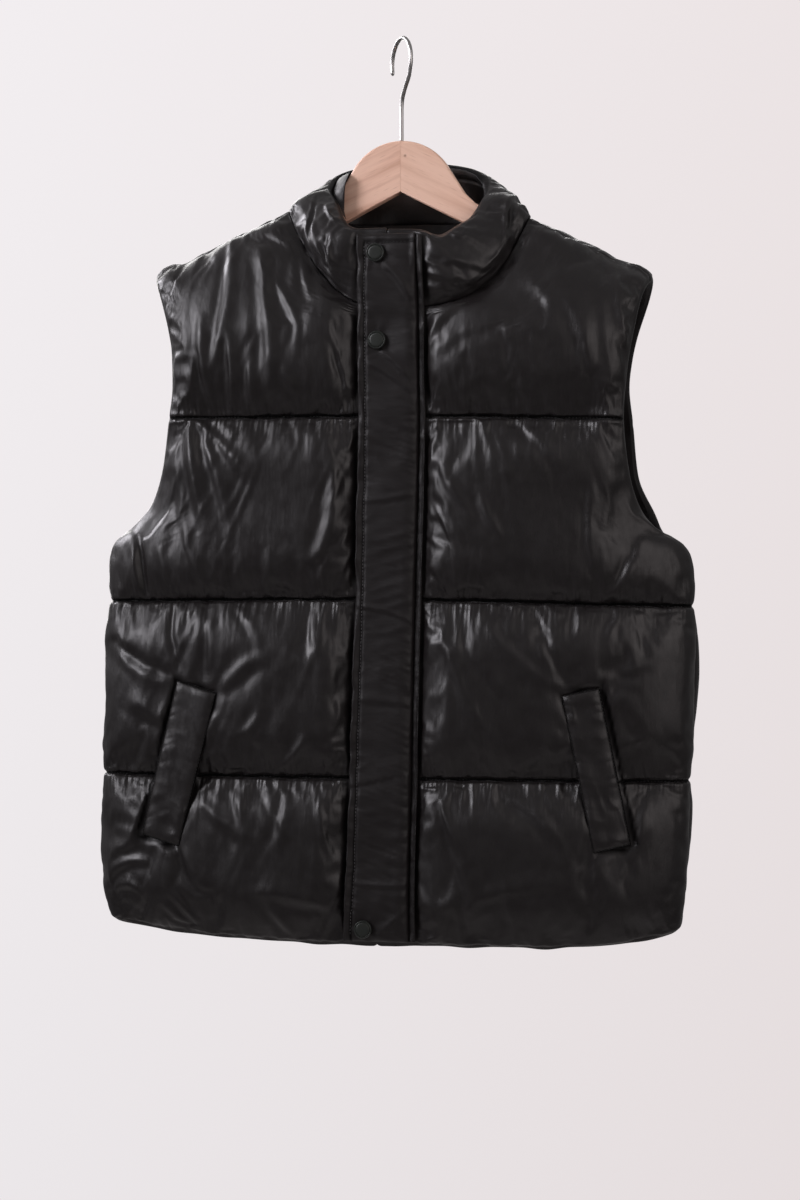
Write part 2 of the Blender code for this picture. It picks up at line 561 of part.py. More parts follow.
def weld_back(halves, nape):
    """The back is one piece: its halves share the centre line up to the nape."""
    shape = bmesh.new()
    points = {}
    for side in ("right", "left"):
        inner, outer, places = halves[side]
        high, wide = inner.shape[:2]
        for layer, grid in enumerate((inner, outer)):
            for i in range(high):
                for j in range(wide):
                    shared = j == 0 and places[i] <= nape + 1e-6
                    key = (None if shared else side, layer, i, j)
                    if key not in points:
                        points[key] = shape.verts.new(grid[i, j])

        def vert(layer, i, j):
            shared = j == 0 and places[i] <= nape + 1e-6
            return points[(None if shared else side, layer, i, j)]

        turn = side == "right"
        for layer in (0, 1):
            for i in range(high - 1):
                for j in range(wide - 1):
                    loop = [vert(layer, i, j), vert(layer, i, j + 1),
                            vert(layer, i + 1, j + 1), vert(layer, i + 1, j)]
                    shape.faces.new(loop if (layer == 1) == turn else loop[::-1])
        border = [(0, j) for j in range(wide - 1)]
        border += [(i, wide - 1) for i in range(high - 1)]
        border += [(high - 1, j) for j in range(wide - 1, 0, -1)]
        top = int(np.searchsorted(places, nape + 1e-6)) - 1
        border += [(i, 0) for i in range(high - 1, top - 1, -1)]
        for (i0, j0), (i1, j1) in zip(border[:-1], border[1:]):
            loop = [vert(0, i0, j0), vert(0, i1, j1), vert(1, i1, j1), vert(1, i0, j0)]
            shape.faces.new(loop if turn else loop[::-1])
    bmesh.ops.recalc_face_normals(shape, faces=shape.faces[:])
    bmesh.ops.triangulate(shape, faces=shape.faces[:], quad_method="FIXED")
    if shape.calc_volume(signed=True) < 0:
        bmesh.ops.reverse_faces(shape, faces=shape.faces[:])
    mesh = bpy.data.meshes.new("back")
    shape.to_mesh(mesh)
    shape.free()
    mesh.shade_smooth()
    return add_object("back", mesh, nylon())


# ---------------------------------------------------------------- collar
COLLAR_ANGLES = NECK_ANGLES["front"] + tuple(180 - a for a in NECK_ANGLES["back"][-2::-1])
COLLAR_SHARES = (0.0, 0.07, 0.2, 0.4, 0.6, 0.8, 0.93, 1.0)


def collar_half(side):
    """Inner and outer grids, a row for each share of the height, a column for each angle."""
    tail = "_r" if side == "right" else "_l"
    top_rows = rows(COLLAR_COLUMNS, COLLAR_TOP)
    knots = [row["angle"] for row in top_rows]
    angles = np.array(COLLAR_ANGLES, float)
    top = smooth_points(angles, knots, [(r["x" + tail], r["y"], r["z" + tail]) for r in top_rows])
    puff = smooth_column(angles, knots, [row["puff" + tail] for row in top_rows])
    foot = neck_ring(side, angles)
    climb = unit(top - foot)
    foot = foot + climb * COLLAR_LIFT
    tangent = np.gradient(foot, axis=0)
    outward = unit(np.cross(climb, tangent))
    outward *= np.where(outward[:, 1:2] * np.cos(np.radians(angles))[:, None] > 0, -1.0, 1.0)
    side_column = int(np.argmax(angles == 90))
    outward[side_column] = unit(outward[side_column - 1] + outward[side_column + 1])
    share = np.array(COLLAR_SHARES)[:, None, None]
    bulge = COLLAR_BULGE * 4 * share * (1 - share) * np.sin(np.radians(angles))[None, :, None]
    inner = foot[None] + (top - foot)[None] * share + outward[None] * bulge
    height = np.linalg.norm(top - foot, axis=-1)[None, :]
    up = share[..., 0] * height
    near_rim = (1 - COLLAR_RIM_FULLNESS) * swell(height - up, COLLAR_TOP_REACH)
    fullness = swell(up, COLLAR_FOOT_REACH) * (COLLAR_RIM_FULLNESS + near_rim)
    from_placket = np.maximum(abs(foot[:, 0] - NECK_CENTRE_X) - PLACKET_ZONE[side], 0.0)
    from_placket = np.where(angles > 90, COLLAR_FRONT_REACH, from_placket)
    fullness = fullness * swell(from_placket, COLLAR_FRONT_REACH)[None, :]
    floor = WALL_AT_SEAM + (COLLAR_RIM_WALL - WALL_AT_SEAM) * share[..., 0] ** 2
    shoulder_share = np.sin(np.radians(angles))[None, :] ** 4 * (1 - share[..., 0]) ** 2
    floor = floor + (SHOULDER_WALL[side] - WALL_AT_SEAM) * shoulder_share
    thickness = floor + (puff[None, :] - floor) * fullness
    lean = smoothstep(up / COLLAR_LEAN)[..., None]
    way = unit(neck_direction(side, angles)[None] * (1 - lean) + outward[None] * lean)
    return inner, inner + way * thickness[..., None]


def make_collar():
    """Right half from the front round to the nape, then the left half back to the front."""
    grids = []
    right, left = collar_half("right"), collar_half("left")
    for layer in (0, 1):
        first, second = right[layer], left[layer]
        first[:, 0, 0] -= SEAM_GAP
        second[:, 0, 0] += SEAM_GAP
        grids.append(np.concatenate([first, second[:, -2::-1]], axis=1))
    return wall("collar", grids[0], grids[1], nylon())


# ---------------------------------------------------------------- pieces that lie on the panels
def tree_of(pieces):
    """One search tree over several finished pieces."""
    shape = bmesh.new()
    for piece in pieces:
        shape.from_mesh(piece.data)
    tree = BVHTree.FromBMesh(shape)
    shape.free()
    return tree


def front_depth(tree, x, z, spread):
    """Foremost y of the pieces' outer faces within the spread of each point."""
    depth = np.zeros(x.shape)
    steps = np.linspace(-1.0, 1.0, 5)
    offsets = [(dx * spread[0], dz * spread[1]) for dx in steps for dz in steps]
    for index in np.ndindex(x.shape):
        hits = []
        for dx, dz in offsets:
            hit = tree.ray_cast(Vector((x[index] + dx, -1.0, z[index] + dz)), Vector((0, 1, 0)))[0]
            if hit is not None and hit.y < BEHIND_FRONTS_Y:
                hits.append(hit.y)
        depth[index] = min(hits)
    return depth


def centre_x(z):
    """The front edge's x at a height."""
    body = rows(ROW_COLUMNS, BODY_ROWS)
    return smooth_column(np.clip(z, body[0]["mid_z"], body[-1]["mid_z"]),
                         [row["mid_z"] for row in body], [row["mid_x"] for row in body])


def placket_half_width(z):
    """Half the placket's width at a height."""
    table = rows(PLACKET_COLUMNS, PLACKET_ROWS)
    return smooth_column(z, [row["z"] for row in table], [row["half_width"] for row in table])


def make_placket(tree):
    """A padded strip along the centre edge, its back laid on what `tree` holds."""
    table = rows(PLACKET_COLUMNS, PLACKET_ROWS)
    z = np.linspace(table[0]["z"], table[-1]["z"], 44)
    half = placket_half_width(z)
    puff = smooth_column(z, [row["z"] for row in table], [row["puff"] for row in table])
    across = np.array(PLACKET_SHARES)
    x = centre_x(z)[:, None] + half[:, None] * across[None, :]
    zz = np.repeat(z[:, None], len(across), axis=1)
    depth = front_depth(tree, x, np.clip(zz, *SEAT_HEIGHTS), SEAT_SPREAD) - SEAT_GAP
    body = swell((1 - abs(across))[None, :] * half[:, None], PLACKET_PUFF_REACH)
    ends = swell(np.minimum(zz - z[0], z[-1] - zz), PLACKET_PUFF_REACH)
    thickness = PLACKET_EDGE_WALL + (puff[:, None] - PLACKET_EDGE_WALL) * body * ends
    inner = np.stack([x, depth, zz], -1)
    outer = np.stack([x, depth - thickness, zz], -1)
    return wall("placket", inner, outer, nylon())


def make_edging(tree):
    """The narrow strip along the placket's sewn side, on the left front and collar."""
    z = np.linspace(PLACKET_ROWS[0][0], EDGING_TOP_Z, 40)
    start = centre_x(z) + placket_half_width(z) + SEAM_GAP
    across = np.array([0.0, 0.5, 1.0])
    x = start[:, None] + EDGING_WIDTH * across[None, :]
    zz = np.repeat(z[:, None], len(across), axis=1)
    depth = front_depth(tree, x, np.clip(zz, *SEAT_HEIGHTS), SEAT_SPREAD) - SEAT_GAP
    inner = np.stack([x, depth, zz], -1)
    outer = np.stack([x, depth - np.array(EDGING_WALLS)[None, :], zz], -1)
    return wall("placket_edging", inner, outer, nylon())


def make_welt(welt, tree):
    """A padded four-cornered strip, its back laid on the front."""
    u = np.array(WELT_SHARES)
    v = np.linspace(0.0, 1.0, 13)
    corners = [np.array(welt[key]) for key in WELT_COLUMNS[1:]]
    top_in, top_out, low_out, low_in = corners
    top = top_in + (top_out - top_in) * u[:, None]
    low = low_in + (low_out - low_in) * u[:, None]
    flat = low[None] + (top - low)[None] * v[:, None, None]
    x, z = flat[..., 0], flat[..., 1]
    depth = front_depth(tree, x, z, WELT_SEAT_SPREAD) - SEAT_GAP
    across = np.minimum(u, 1 - u)[None, :] * np.linalg.norm(top_in - top_out)
    ends = np.minimum(v, 1 - v)[:, None] * np.linalg.norm(top_in - low_in)
    full = swell(across, WELT_PUFF_REACH) * swell(ends, WELT_PUFF_REACH)
    thickness = WELT_EDGE_WALL + (WELT_WALL - WELT_EDGE_WALL) * full
    inner = np.stack([x, depth, z], -1)
    outer = np.stack([x, depth - thickness, z], -1)
    return wall(welt["name"], inner, outer, nylon())


def make_snap(snap, tree):
    """Round cap turned about the Y axis: a flat back, an upright edge and a low crown."""
    radius = SNAP_DIAMETER / 2
    turns = np.radians(np.arange(0, 360, 45))
    ring_x = np.concatenate([[snap["x"]], snap["x"] + radius * np.cos(turns)])
    ring_z = np.concatenate([[snap["z"]], snap["z"] + radius * np.sin(turns)])
    seat = front_depth(tree, ring_x, ring_z, SNAP_SEAT_SPREAD).min() - SEAT_GAP
    shape = bmesh.new()
    loops = []
    for radius_share, height_share in SNAP_PROFILE:
        loop = []
        for turn in np.linspace(0, 2 * math.pi, SNAP_SIDES, endpoint=False):
            loop.append(shape.verts.new((snap["x"] + radius * radius_share * math.cos(turn),
                                         seat - SNAP_HEIGHT * height_share,
                                         snap["z"] + radius * radius_share * math.sin(turn))))
        loops.append(loop)
    for low, high in zip(loops[:-1], loops[1:]):
        for k in range(len(low)):
            following = (k + 1) % len(low)
            shape.faces.new([low[k], low[following], high[following], high[k]])
    shape.faces.new(loops[0][::-1])
    shape.faces.new(loops[-1])
    bmesh.ops.recalc_face_normals(shape, faces=shape.faces[:])
    mesh = bpy.data.meshes.new(snap["name"])
    shape.to_mesh(mesh)
    shape.free()
    return add_object(snap["name"], mesh, material("snap_cap", (0.03, 0.034, 0.03), 0.55))


# ---------------------------------------------------------------- hanger
def arc(centre, radius, start, end, count):
    """Points on an arc, its angles in degrees from straight up, clockwise."""
    turns = np.radians(np.linspace(start, end, count))
    return [(centre[0] + radius * math.sin(t), centre[1] + radius * math.cos(t)) for t in turns]


def hanger_outline(side):
    """One arm in front view at +X, from the top of the crown round to the mitre's lower end."""
    crown = arc((0.0, CROWN_TOP_Z - CROWN_RADIUS), CROWN_RADIUS, 0.0, CROWN_SWEEP, 11)
    down = math.radians(ARM_SLOPE[side])
    drop = math.tan(down)
    neck_x, neck_z = NECK_OF_ARM_X, NECK_OF_ARM_Z[side]
    end_z = neck_z - (ARM_END_X - neck_x) * drop
    way = np.array([math.cos(down), -math.sin(down)])
    under = np.array([-math.sin(down), -math.cos(down)])
    tip = np.array([ARM_END_X, end_z]) - way * ARM_END_RADIUS
    centre_high = tip + under * ARM_END_RADIUS
    centre_low = tip + under * (ARM_HEIGHT - ARM_END_RADIUS)
    high = [tuple(centre_high + ARM_END_RADIUS * (way * math.sin(t) - under * math.cos(t)))
            for t in np.radians(np.linspace(0, 90, 5))]
    low = [tuple(centre_low + ARM_END_RADIUS * (way * math.cos(t) + under * math.sin(t)))
           for t in np.radians(np.linspace(0, 90, 5))]
    straight = (ARM_STRAIGHT_X, neck_z - (ARM_STRAIGHT_X - neck_x) * drop)
    return (crown + [ARM_SHOULDER, (neck_x, neck_z), straight] + high + low
            + [ARM_BELLY, (0.0, APEX_Z)])


def make_hanger():
    """Both halves of the outline as one flat board with eased edges."""
    outline = hanger_outline("left")
    outline += [(-x, z) for x, z in hanger_outline("right")[-2:0:-1]]
    shape = bmesh.new()
    face = shape.faces.new([shape.verts.new((x, -WOOD_THICKNESS / 2, z)) for x, z in outline])
    body = bmesh.ops.extrude_face_region(shape, geom=[face])
    moved = [item for item in body["geom"] if isinstance(item, bmesh.types.BMVert)]
    bmesh.ops.translate(shape, verts=moved, vec=(0.0, WOOD_THICKNESS, 0.0))
    bmesh.ops.recalc_face_normals(shape, faces=shape.faces[:])
    caps = [f for f in shape.faces if len(f.verts) > 4]
    rims = {edge for cap in caps for edge in cap.edges}
    bmesh.ops.bevel(shape, geom=list(rims), offset=WOOD_BEVEL, segments=2, profile=0.6,
                    affect="EDGES", clamp_overlap=True)
    bmesh.ops.triangulate(shape, faces=shape.faces[:])
    if shape.calc_volume(signed=True) < 0:
        bmesh.ops.reverse_faces(shape, faces=shape.faces[:])
    mesh = bpy.data.meshes.new("hanger_wood")
    shape.to_mesh(mesh)
    shape.free()
    return add_object("hanger_wood", mesh, material("hanger_beech", (0.62, 0.41, 0.30), 0.5))


def make_hook():
    """Wire: an arc over the rod from the tip behind it to the front, then in to the stem."""
    centre_z = WIRE_DIAMETER / 2 - HOOK_RADIUS
    turns = np.radians(np.linspace(HOOK_END_ANGLE, HOOK_START_ANGLE, 24))
    route = [(HOOK_RADIUS * math.cos(t), centre_z + HOOK_RADIUS * math.sin(t)) for t in turns]
    route += STEM_CURVE + [(0.0, STEM_FOOT_Z)]
    knots = np.concatenate([[0.0], np.cumsum(np.hypot(*np.diff(np.array(route), axis=0).T))])
    places = np.linspace(0.0, knots[-1], 44)
    smooth = smooth_points(places, knots, route)
    turn = math.radians(HOOK_TURN)
    curve = bpy.data.curves.new("hanger_hook", "CURVE")
    curve.dimensions = "3D"
    curve.bevel_depth = WIRE_DIAMETER / 2
    curve.bevel_resolution = 2
    curve.use_fill_caps = True
    spline = curve.splines.new("POLY")
    spline.points.add(len(smooth) - 1)
    for point, (out, z) in zip(spline.points, smooth):
        point.co = (out * math.sin(turn), -out * math.cos(turn), z, 1.0)
    curve.materials.append(material("hook_steel", (0.60, 0.58, 0.56), 0.32, 1.0))
    piece = bpy.data.objects.new("hanger_hook", curve)
    bpy.context.scene.collection.objects.link(piece)
    return piece


# ---------------------------------------------------------------- the whole vest
def build():
    """Make every piece, the ones that lie on others after those they lie on."""
    for old in list(bpy.data.objects):
        bpy.data.objects.remove(old, do_unlink=True)
    fronts = [make_front("right"), make_front("left")]
    make_back()
    collar = make_collar()
    face = tree_of(fronts + [collar])
    placket = make_placket(face)
    make_edging(face)
    for welt in rows(WELT_COLUMNS, WELTS):
        make_welt(welt, tree_of(fronts))
    for snap in rows(SNAP_COLUMNS, SNAPS):
        make_snap(snap, tree_of([placket]))
    make_hanger()
    make_hook()


build()
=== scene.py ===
"""Looks of a quilted puffer vest that hangs on a flat wooden hanger with a wire hook.

Metres, +Z up.  The front faces -Y and +X is the left half of the garment as it is worn, as in the
CAD frame.  Each cloth panel is a wall: an inner grid ruled between a centre edge and a side edge,
and a shell that stands off it by the padding.  The shell gets the creases that the cloth has at its
seams, is blown up a little by a cloth simulation, and is finished with one subdivision.
"""

import json
import math

import bmesh
import bpy
import numpy as np
from mathutils import Vector
from mathutils.bvhtree import BVHTree
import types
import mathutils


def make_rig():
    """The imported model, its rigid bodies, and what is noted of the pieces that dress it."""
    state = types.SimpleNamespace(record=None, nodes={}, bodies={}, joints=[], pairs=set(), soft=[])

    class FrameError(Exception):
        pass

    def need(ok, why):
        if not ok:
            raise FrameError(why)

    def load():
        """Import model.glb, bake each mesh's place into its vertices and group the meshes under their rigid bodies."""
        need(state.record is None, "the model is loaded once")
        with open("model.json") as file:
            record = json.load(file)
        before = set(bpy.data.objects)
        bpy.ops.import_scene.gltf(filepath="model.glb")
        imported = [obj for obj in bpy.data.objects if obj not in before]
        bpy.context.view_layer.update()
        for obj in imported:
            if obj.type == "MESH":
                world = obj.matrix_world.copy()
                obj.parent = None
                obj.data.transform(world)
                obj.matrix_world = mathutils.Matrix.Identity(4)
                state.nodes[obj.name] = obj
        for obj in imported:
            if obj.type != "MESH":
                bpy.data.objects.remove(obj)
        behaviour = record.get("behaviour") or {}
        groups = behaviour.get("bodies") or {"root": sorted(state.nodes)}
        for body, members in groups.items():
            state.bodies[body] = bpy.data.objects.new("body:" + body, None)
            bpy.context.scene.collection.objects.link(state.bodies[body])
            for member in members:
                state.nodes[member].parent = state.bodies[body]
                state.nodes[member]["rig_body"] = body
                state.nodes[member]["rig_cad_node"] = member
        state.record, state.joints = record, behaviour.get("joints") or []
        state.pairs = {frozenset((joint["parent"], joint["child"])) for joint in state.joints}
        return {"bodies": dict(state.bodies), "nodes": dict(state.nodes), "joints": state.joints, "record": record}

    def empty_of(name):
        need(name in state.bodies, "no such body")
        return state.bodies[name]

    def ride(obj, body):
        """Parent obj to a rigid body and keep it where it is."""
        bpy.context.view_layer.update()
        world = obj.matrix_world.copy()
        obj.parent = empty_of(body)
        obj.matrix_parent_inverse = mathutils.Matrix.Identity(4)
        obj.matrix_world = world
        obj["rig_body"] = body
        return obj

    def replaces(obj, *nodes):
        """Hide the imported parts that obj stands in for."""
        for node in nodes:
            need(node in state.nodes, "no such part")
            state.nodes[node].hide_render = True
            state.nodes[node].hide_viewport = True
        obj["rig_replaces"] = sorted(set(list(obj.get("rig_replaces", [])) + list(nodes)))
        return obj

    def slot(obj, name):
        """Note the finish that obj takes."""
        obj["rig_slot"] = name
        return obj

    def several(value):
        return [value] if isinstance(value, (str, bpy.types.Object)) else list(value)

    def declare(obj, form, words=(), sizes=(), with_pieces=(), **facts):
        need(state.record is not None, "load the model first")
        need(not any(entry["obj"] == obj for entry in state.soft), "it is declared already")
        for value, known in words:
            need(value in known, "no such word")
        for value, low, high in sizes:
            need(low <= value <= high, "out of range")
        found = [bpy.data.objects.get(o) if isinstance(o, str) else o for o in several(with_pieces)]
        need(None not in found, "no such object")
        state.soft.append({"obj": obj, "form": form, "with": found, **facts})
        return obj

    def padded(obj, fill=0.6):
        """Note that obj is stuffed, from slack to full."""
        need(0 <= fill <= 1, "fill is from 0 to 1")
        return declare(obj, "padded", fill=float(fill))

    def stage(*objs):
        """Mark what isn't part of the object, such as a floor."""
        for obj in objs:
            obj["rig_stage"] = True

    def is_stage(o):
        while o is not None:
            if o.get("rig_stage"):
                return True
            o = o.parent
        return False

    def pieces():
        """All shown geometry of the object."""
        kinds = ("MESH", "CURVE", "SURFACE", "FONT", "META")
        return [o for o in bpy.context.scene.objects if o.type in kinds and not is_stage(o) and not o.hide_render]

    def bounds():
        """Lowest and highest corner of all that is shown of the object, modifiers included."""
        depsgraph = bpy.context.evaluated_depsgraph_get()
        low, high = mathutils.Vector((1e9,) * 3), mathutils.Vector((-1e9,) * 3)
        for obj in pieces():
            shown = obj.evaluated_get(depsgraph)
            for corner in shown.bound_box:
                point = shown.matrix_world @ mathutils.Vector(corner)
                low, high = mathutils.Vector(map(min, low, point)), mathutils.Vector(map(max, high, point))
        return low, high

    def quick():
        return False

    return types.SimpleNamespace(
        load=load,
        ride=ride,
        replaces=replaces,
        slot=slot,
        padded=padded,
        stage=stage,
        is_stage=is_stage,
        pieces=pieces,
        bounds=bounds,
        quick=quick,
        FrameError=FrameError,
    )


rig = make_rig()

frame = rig.load()
CAD_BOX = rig.bounds()

# ---------------------------------------------------------------- driving sizes of the garment
SEAM_GAP = 0.0003
WALL_AT_SEAM = 0.007
WALL_AT_FRONT_EDGE = 0.006
PUFF_REACH = 0.048
FRONT_EDGE_PUFF_REACH = 0.029
SHOULDER_WALL = {"right": 0.011, "left": 0.0075}
SHOULDER_PUFF = {"right": 0.017, "left": 0.0105}
SHOULDER_REACH = 0.070
PLACKET_ZONE = {"right": 0.0310, "left": 0.0375}
SIDE_SIGN = {"right": -1.0, "left": 1.0}
SIDE_LEAN = 0.016
SIDE_FULLNESS = 0.005         # the quilting is pulled in less where it runs out to the side
SIDE_REACH = 0.013
ARMPIT_THIN = 0.003           # the wall is thinner at the armhole's lowest corner
ARMPIT_SPREAD = 0.9           # table rows each way
ARMPIT_CORNER = 0.4           # table rows above the armpit's own row
SIDE_SEAM_END = 0.6           # the same, where the side seam gives way to the armhole
PLACKET_ZONE_FADE = 0.010
CENTRE_LEAN = 0.030
NECK_LEAN = 0.020

ROW_COLUMNS = "name mid_z mid_x mid_y z_r x_r z_l x_l gap puff round".split()
BODY_ROWS = [
    ("hem",       -0.861, -0.0152, 0.040, -0.846, -0.279,  -0.845, 0.2590, 0.000, 0.016, 2.0),
    ("low",       -0.800, -0.0133, 0.042, -0.792, -0.284,  -0.788, 0.2630, 0.000, 0.020, 2.0),
    ("seam 3",    -0.705, -0.0103, 0.043, -0.705, -0.286,  -0.706, 0.2675, 0.000, 0.020, 2.0),
    ("waist",     -0.620, -0.0078, 0.044, -0.620, -0.281,  -0.622, 0.2700, 0.000, 0.021, 2.0),
    ("seam 2",    -0.536, -0.0053, 0.045, -0.538, -0.280,  -0.543, 0.2710, 0.000, 0.021, 2.0),
    ("armpit",    -0.487, -0.0040, 0.046, -0.490, -0.276,  -0.497, 0.2660, 0.000, 0.020, 2.0),
    ("under",     -0.463, -0.0033, 0.047, -0.474, -0.257,  -0.480, 0.2450, 0.010, 0.020, 1.8),
    ("scoop",     -0.438, -0.0027, 0.047, -0.450, -0.236,  -0.455, 0.2270, 0.022, 0.020, 1.6),
    ("chest",     -0.403, -0.0020, 0.048, -0.412, -0.2215, -0.418, 0.2190, 0.034, 0.020, 1.4),
    ("seam 1",    -0.364, -0.0013, 0.049, -0.363, -0.2140, -0.369, 0.2155, 0.040, 0.020, 1.3),
    ("bust",      -0.315, -0.0013, 0.051, -0.332, -0.2105, -0.334, 0.2180, 0.041, 0.020, 1.2),
]
HEM_SWEEP = {"right": 2.6, "left": 7.0}
QUILT_ROWS = ("seam 3", "seam 2", "seam 1")
NECK_ROW_COLUMNS = "name neck z_r x_r z_l x_l gap puff round".split()
FRONT_NECK_ROWS = [
    ("neck",       0, -0.301, -0.2115, -0.305, 0.2215, 0.040, 0.020, 1.1),
    ("neck 35",   35, -0.278, -0.2160, -0.283, 0.2255, 0.037, 0.019, 1.0),
    ("neck 55",   55, -0.258, -0.2220, -0.264, 0.2290, 0.032, 0.018, 1.0),
    ("neck 75",   75, -0.242, -0.2290, -0.250, 0.2320, 0.023, 0.016, 1.0),
    ("shoulder",  90, -0.2325, -0.2365, -0.2405, 0.2360, 0.012, 0.014, 1.0),
]
BACK_NECK_ROWS = [
    ("nape",       0, -0.276, -0.2160, -0.281, 0.2210, 0.037, 0.020, 1.1),
    ("neck 30",   30, -0.257, -0.2220, -0.264, 0.2270, 0.032, 0.019, 1.0),
    ("neck 50",   50, -0.2425, -0.2290, -0.2505, 0.2320, 0.023, 0.017, 1.0),
    ("neck 65",   65, -0.2340, -0.2335, -0.2420, 0.2350, 0.012, 0.016, 1.0),
    ("ridge",     78, -0.2310, -0.2360, -0.2390, 0.2360, 0.000, 0.015, 1.0),
    ("shoulder",  90, -0.2325, -0.2365, -0.2405, 0.2360, -0.012, 0.014, 1.0),
]
UPPER_BACK_ROWS = [
    ("blades",    -0.300, -0.0013, 0.050, -0.332, -0.2105, -0.334, 0.2120, 0.041, 0.020, 1.2),
    ("yoke",      -0.235, -0.0013, 0.051, -0.303, -0.2115, -0.307, 0.2150, 0.040, 0.020, 1.1),
]
BACK_FLARE = 0.008            # the back stands out this far at the armhole's low corner
BACK_FLARE_Z = -0.450
BACK_FLARE_SPREAD = 0.022

NECK_FRONT_Z = -0.264
NECK_BACK_Z = -0.170
NECK_FRONT_Y = -0.053
NECK_BACK_Y = 0.050
NECK_CENTRE_X = -0.0013
SHOULDER_SEAM_Y = -0.012
NECK_SHOULDER_X = {"right": -0.1035, "left": 0.1240}
NECK_SHOULDER_Z = {"right": -0.1725, "left": -0.1825}
NECK_CURVE = {"right": 2.3, "left": 4.4}
NECK_SPAN = 4.0               # table rows from the neck's corner to the shoulder seam
NECK_SIDE_LEAN = 0.35         # share by which the wall leans outwards at the shoulder
NECK_FRONT_LOSS = 0.5         # share of its forward lean that it loses on the way there

COLLAR_COLUMNS = "angle x_r x_l y z_r z_l puff_r puff_l".split()
COLLAR_TOP = [
    (0,   -0.0013, -0.0013, -0.058, -0.1905, -0.1915, 0.009, 0.009),
    (22,  -0.0270,  0.0300, -0.056, -0.1905, -0.1930, 0.013, 0.015),
    (36,  -0.0380,  0.0450, -0.050, -0.1870, -0.1980, 0.017, 0.019),
    (50,  -0.0460,  0.0600, -0.042, -0.1790, -0.1900, 0.016, 0.019),
    (68,  -0.0560,  0.0740, -0.024, -0.1640, -0.1780, 0.013, 0.015),
    (90,  -0.0675,  0.0800, -0.003, -0.1480, -0.1580, 0.011, 0.012),
    (112, -0.0680,  0.0760,  0.018, -0.1310, -0.1380, 0.011, 0.012),
    (135, -0.0570,  0.0620,  0.035, -0.1190, -0.1220, 0.014, 0.014),
    (158, -0.0300,  0.0330,  0.045, -0.1135, -0.1140, 0.018, 0.018),
    (180, -0.0013, -0.0013,  0.047, -0.1120, -0.1120, 0.018, 0.018),
]
COLLAR_BULGE = 0.004
COLLAR_RIM_WALL = 0.008
COLLAR_LIFT = 0.0004
COLLAR_FRONT_REACH = 0.022
COLLAR_FOOT_REACH = 0.024
COLLAR_TOP_REACH = 0.020
COLLAR_RIM_FULLNESS = 0.35
COLLAR_LEAN = 0.018

PLACKET_COLUMNS = "z half_width puff".split()
PLACKET_ROWS = [
    (-0.8585, 0.0310, 0.0070),
    (-0.8480, 0.0308, 0.0080),
    (-0.8000, 0.0296, 0.0085),
    (-0.7050, 0.0291, 0.0085),
    (-0.6200, 0.0284, 0.0085),
    (-0.5360, 0.0280, 0.0085),
    (-0.4000, 0.0286, 0.0085),
    (-0.2700, 0.0282, 0.0080),
    (-0.2200, 0.0278, 0.0075),
    (-0.1955, 0.0276, 0.0065),
]
PLACKET_EDGE_WALL = 0.0035
PLACKET_PUFF_REACH = 0.012
PLACKET_RIM_BULGE = 0.0009
TOPSTITCH_INSET = 0.0072      # from the placket's free edge and its top
EDGING_WIDTH = 0.0062
EDGING_WALL = 0.0030
EDGING_TOP_Z = -0.1968
EDGING_RIM_BULGE = 0.0003
SEAT_GAP = 0.0003
SEAT_HEIGHTS = (-0.852, -0.200)
BEHIND_FRONTS_Y = -0.010

SNAP_DIAMETER = 0.0172
SNAP_COLUMNS = "name x z".split()
SNAP_PROFILE = [(0.90, 0.0000), (0.97, 0.0004), (1.00, 0.0010), (1.00, 0.0020), (0.97, 0.0027),
                (0.92, 0.0031), (0.87, 0.0032), (0.84, 0.0029), (0.82, 0.0025), (0.79, 0.0025),
                (0.77, 0.0030), (0.72, 0.0033), (0.60, 0.0034), (0.40, 0.0035), (0.20, 0.0035)]
SNAPS = [
    ("snap_collar", -0.0107, -0.2130),
    ("snap_chest",  -0.0107, -0.2940),
    ("snap_hem",    -0.0262, -0.8468),
]

WELT_COLUMNS = "name top_in top_out low_out low_in".split()
WELTS = [
    ("pocket_welt_right",
     (-0.1680, -0.6253), (-0.2085, -0.6135), (-0.2455, -0.7622), (-0.2066, -0.7728)),
    ("pocket_welt_left",
     (0.1618, -0.6254), (0.1965, -0.6181), (0.2250, -0.7640), (0.1909, -0.7718)),
]
WELT_WALL = 0.007
WELT_EDGE_WALL = 0.0035
WELT_PUFF_REACH = 0.010
WELT_RIM_BULGE = 0.0004
WELT_BED = 0.016              # wall of the front under a welt, where it lies flat
WELT_BED_INSET = 0.002
WELT_BED_FADE = 0.006

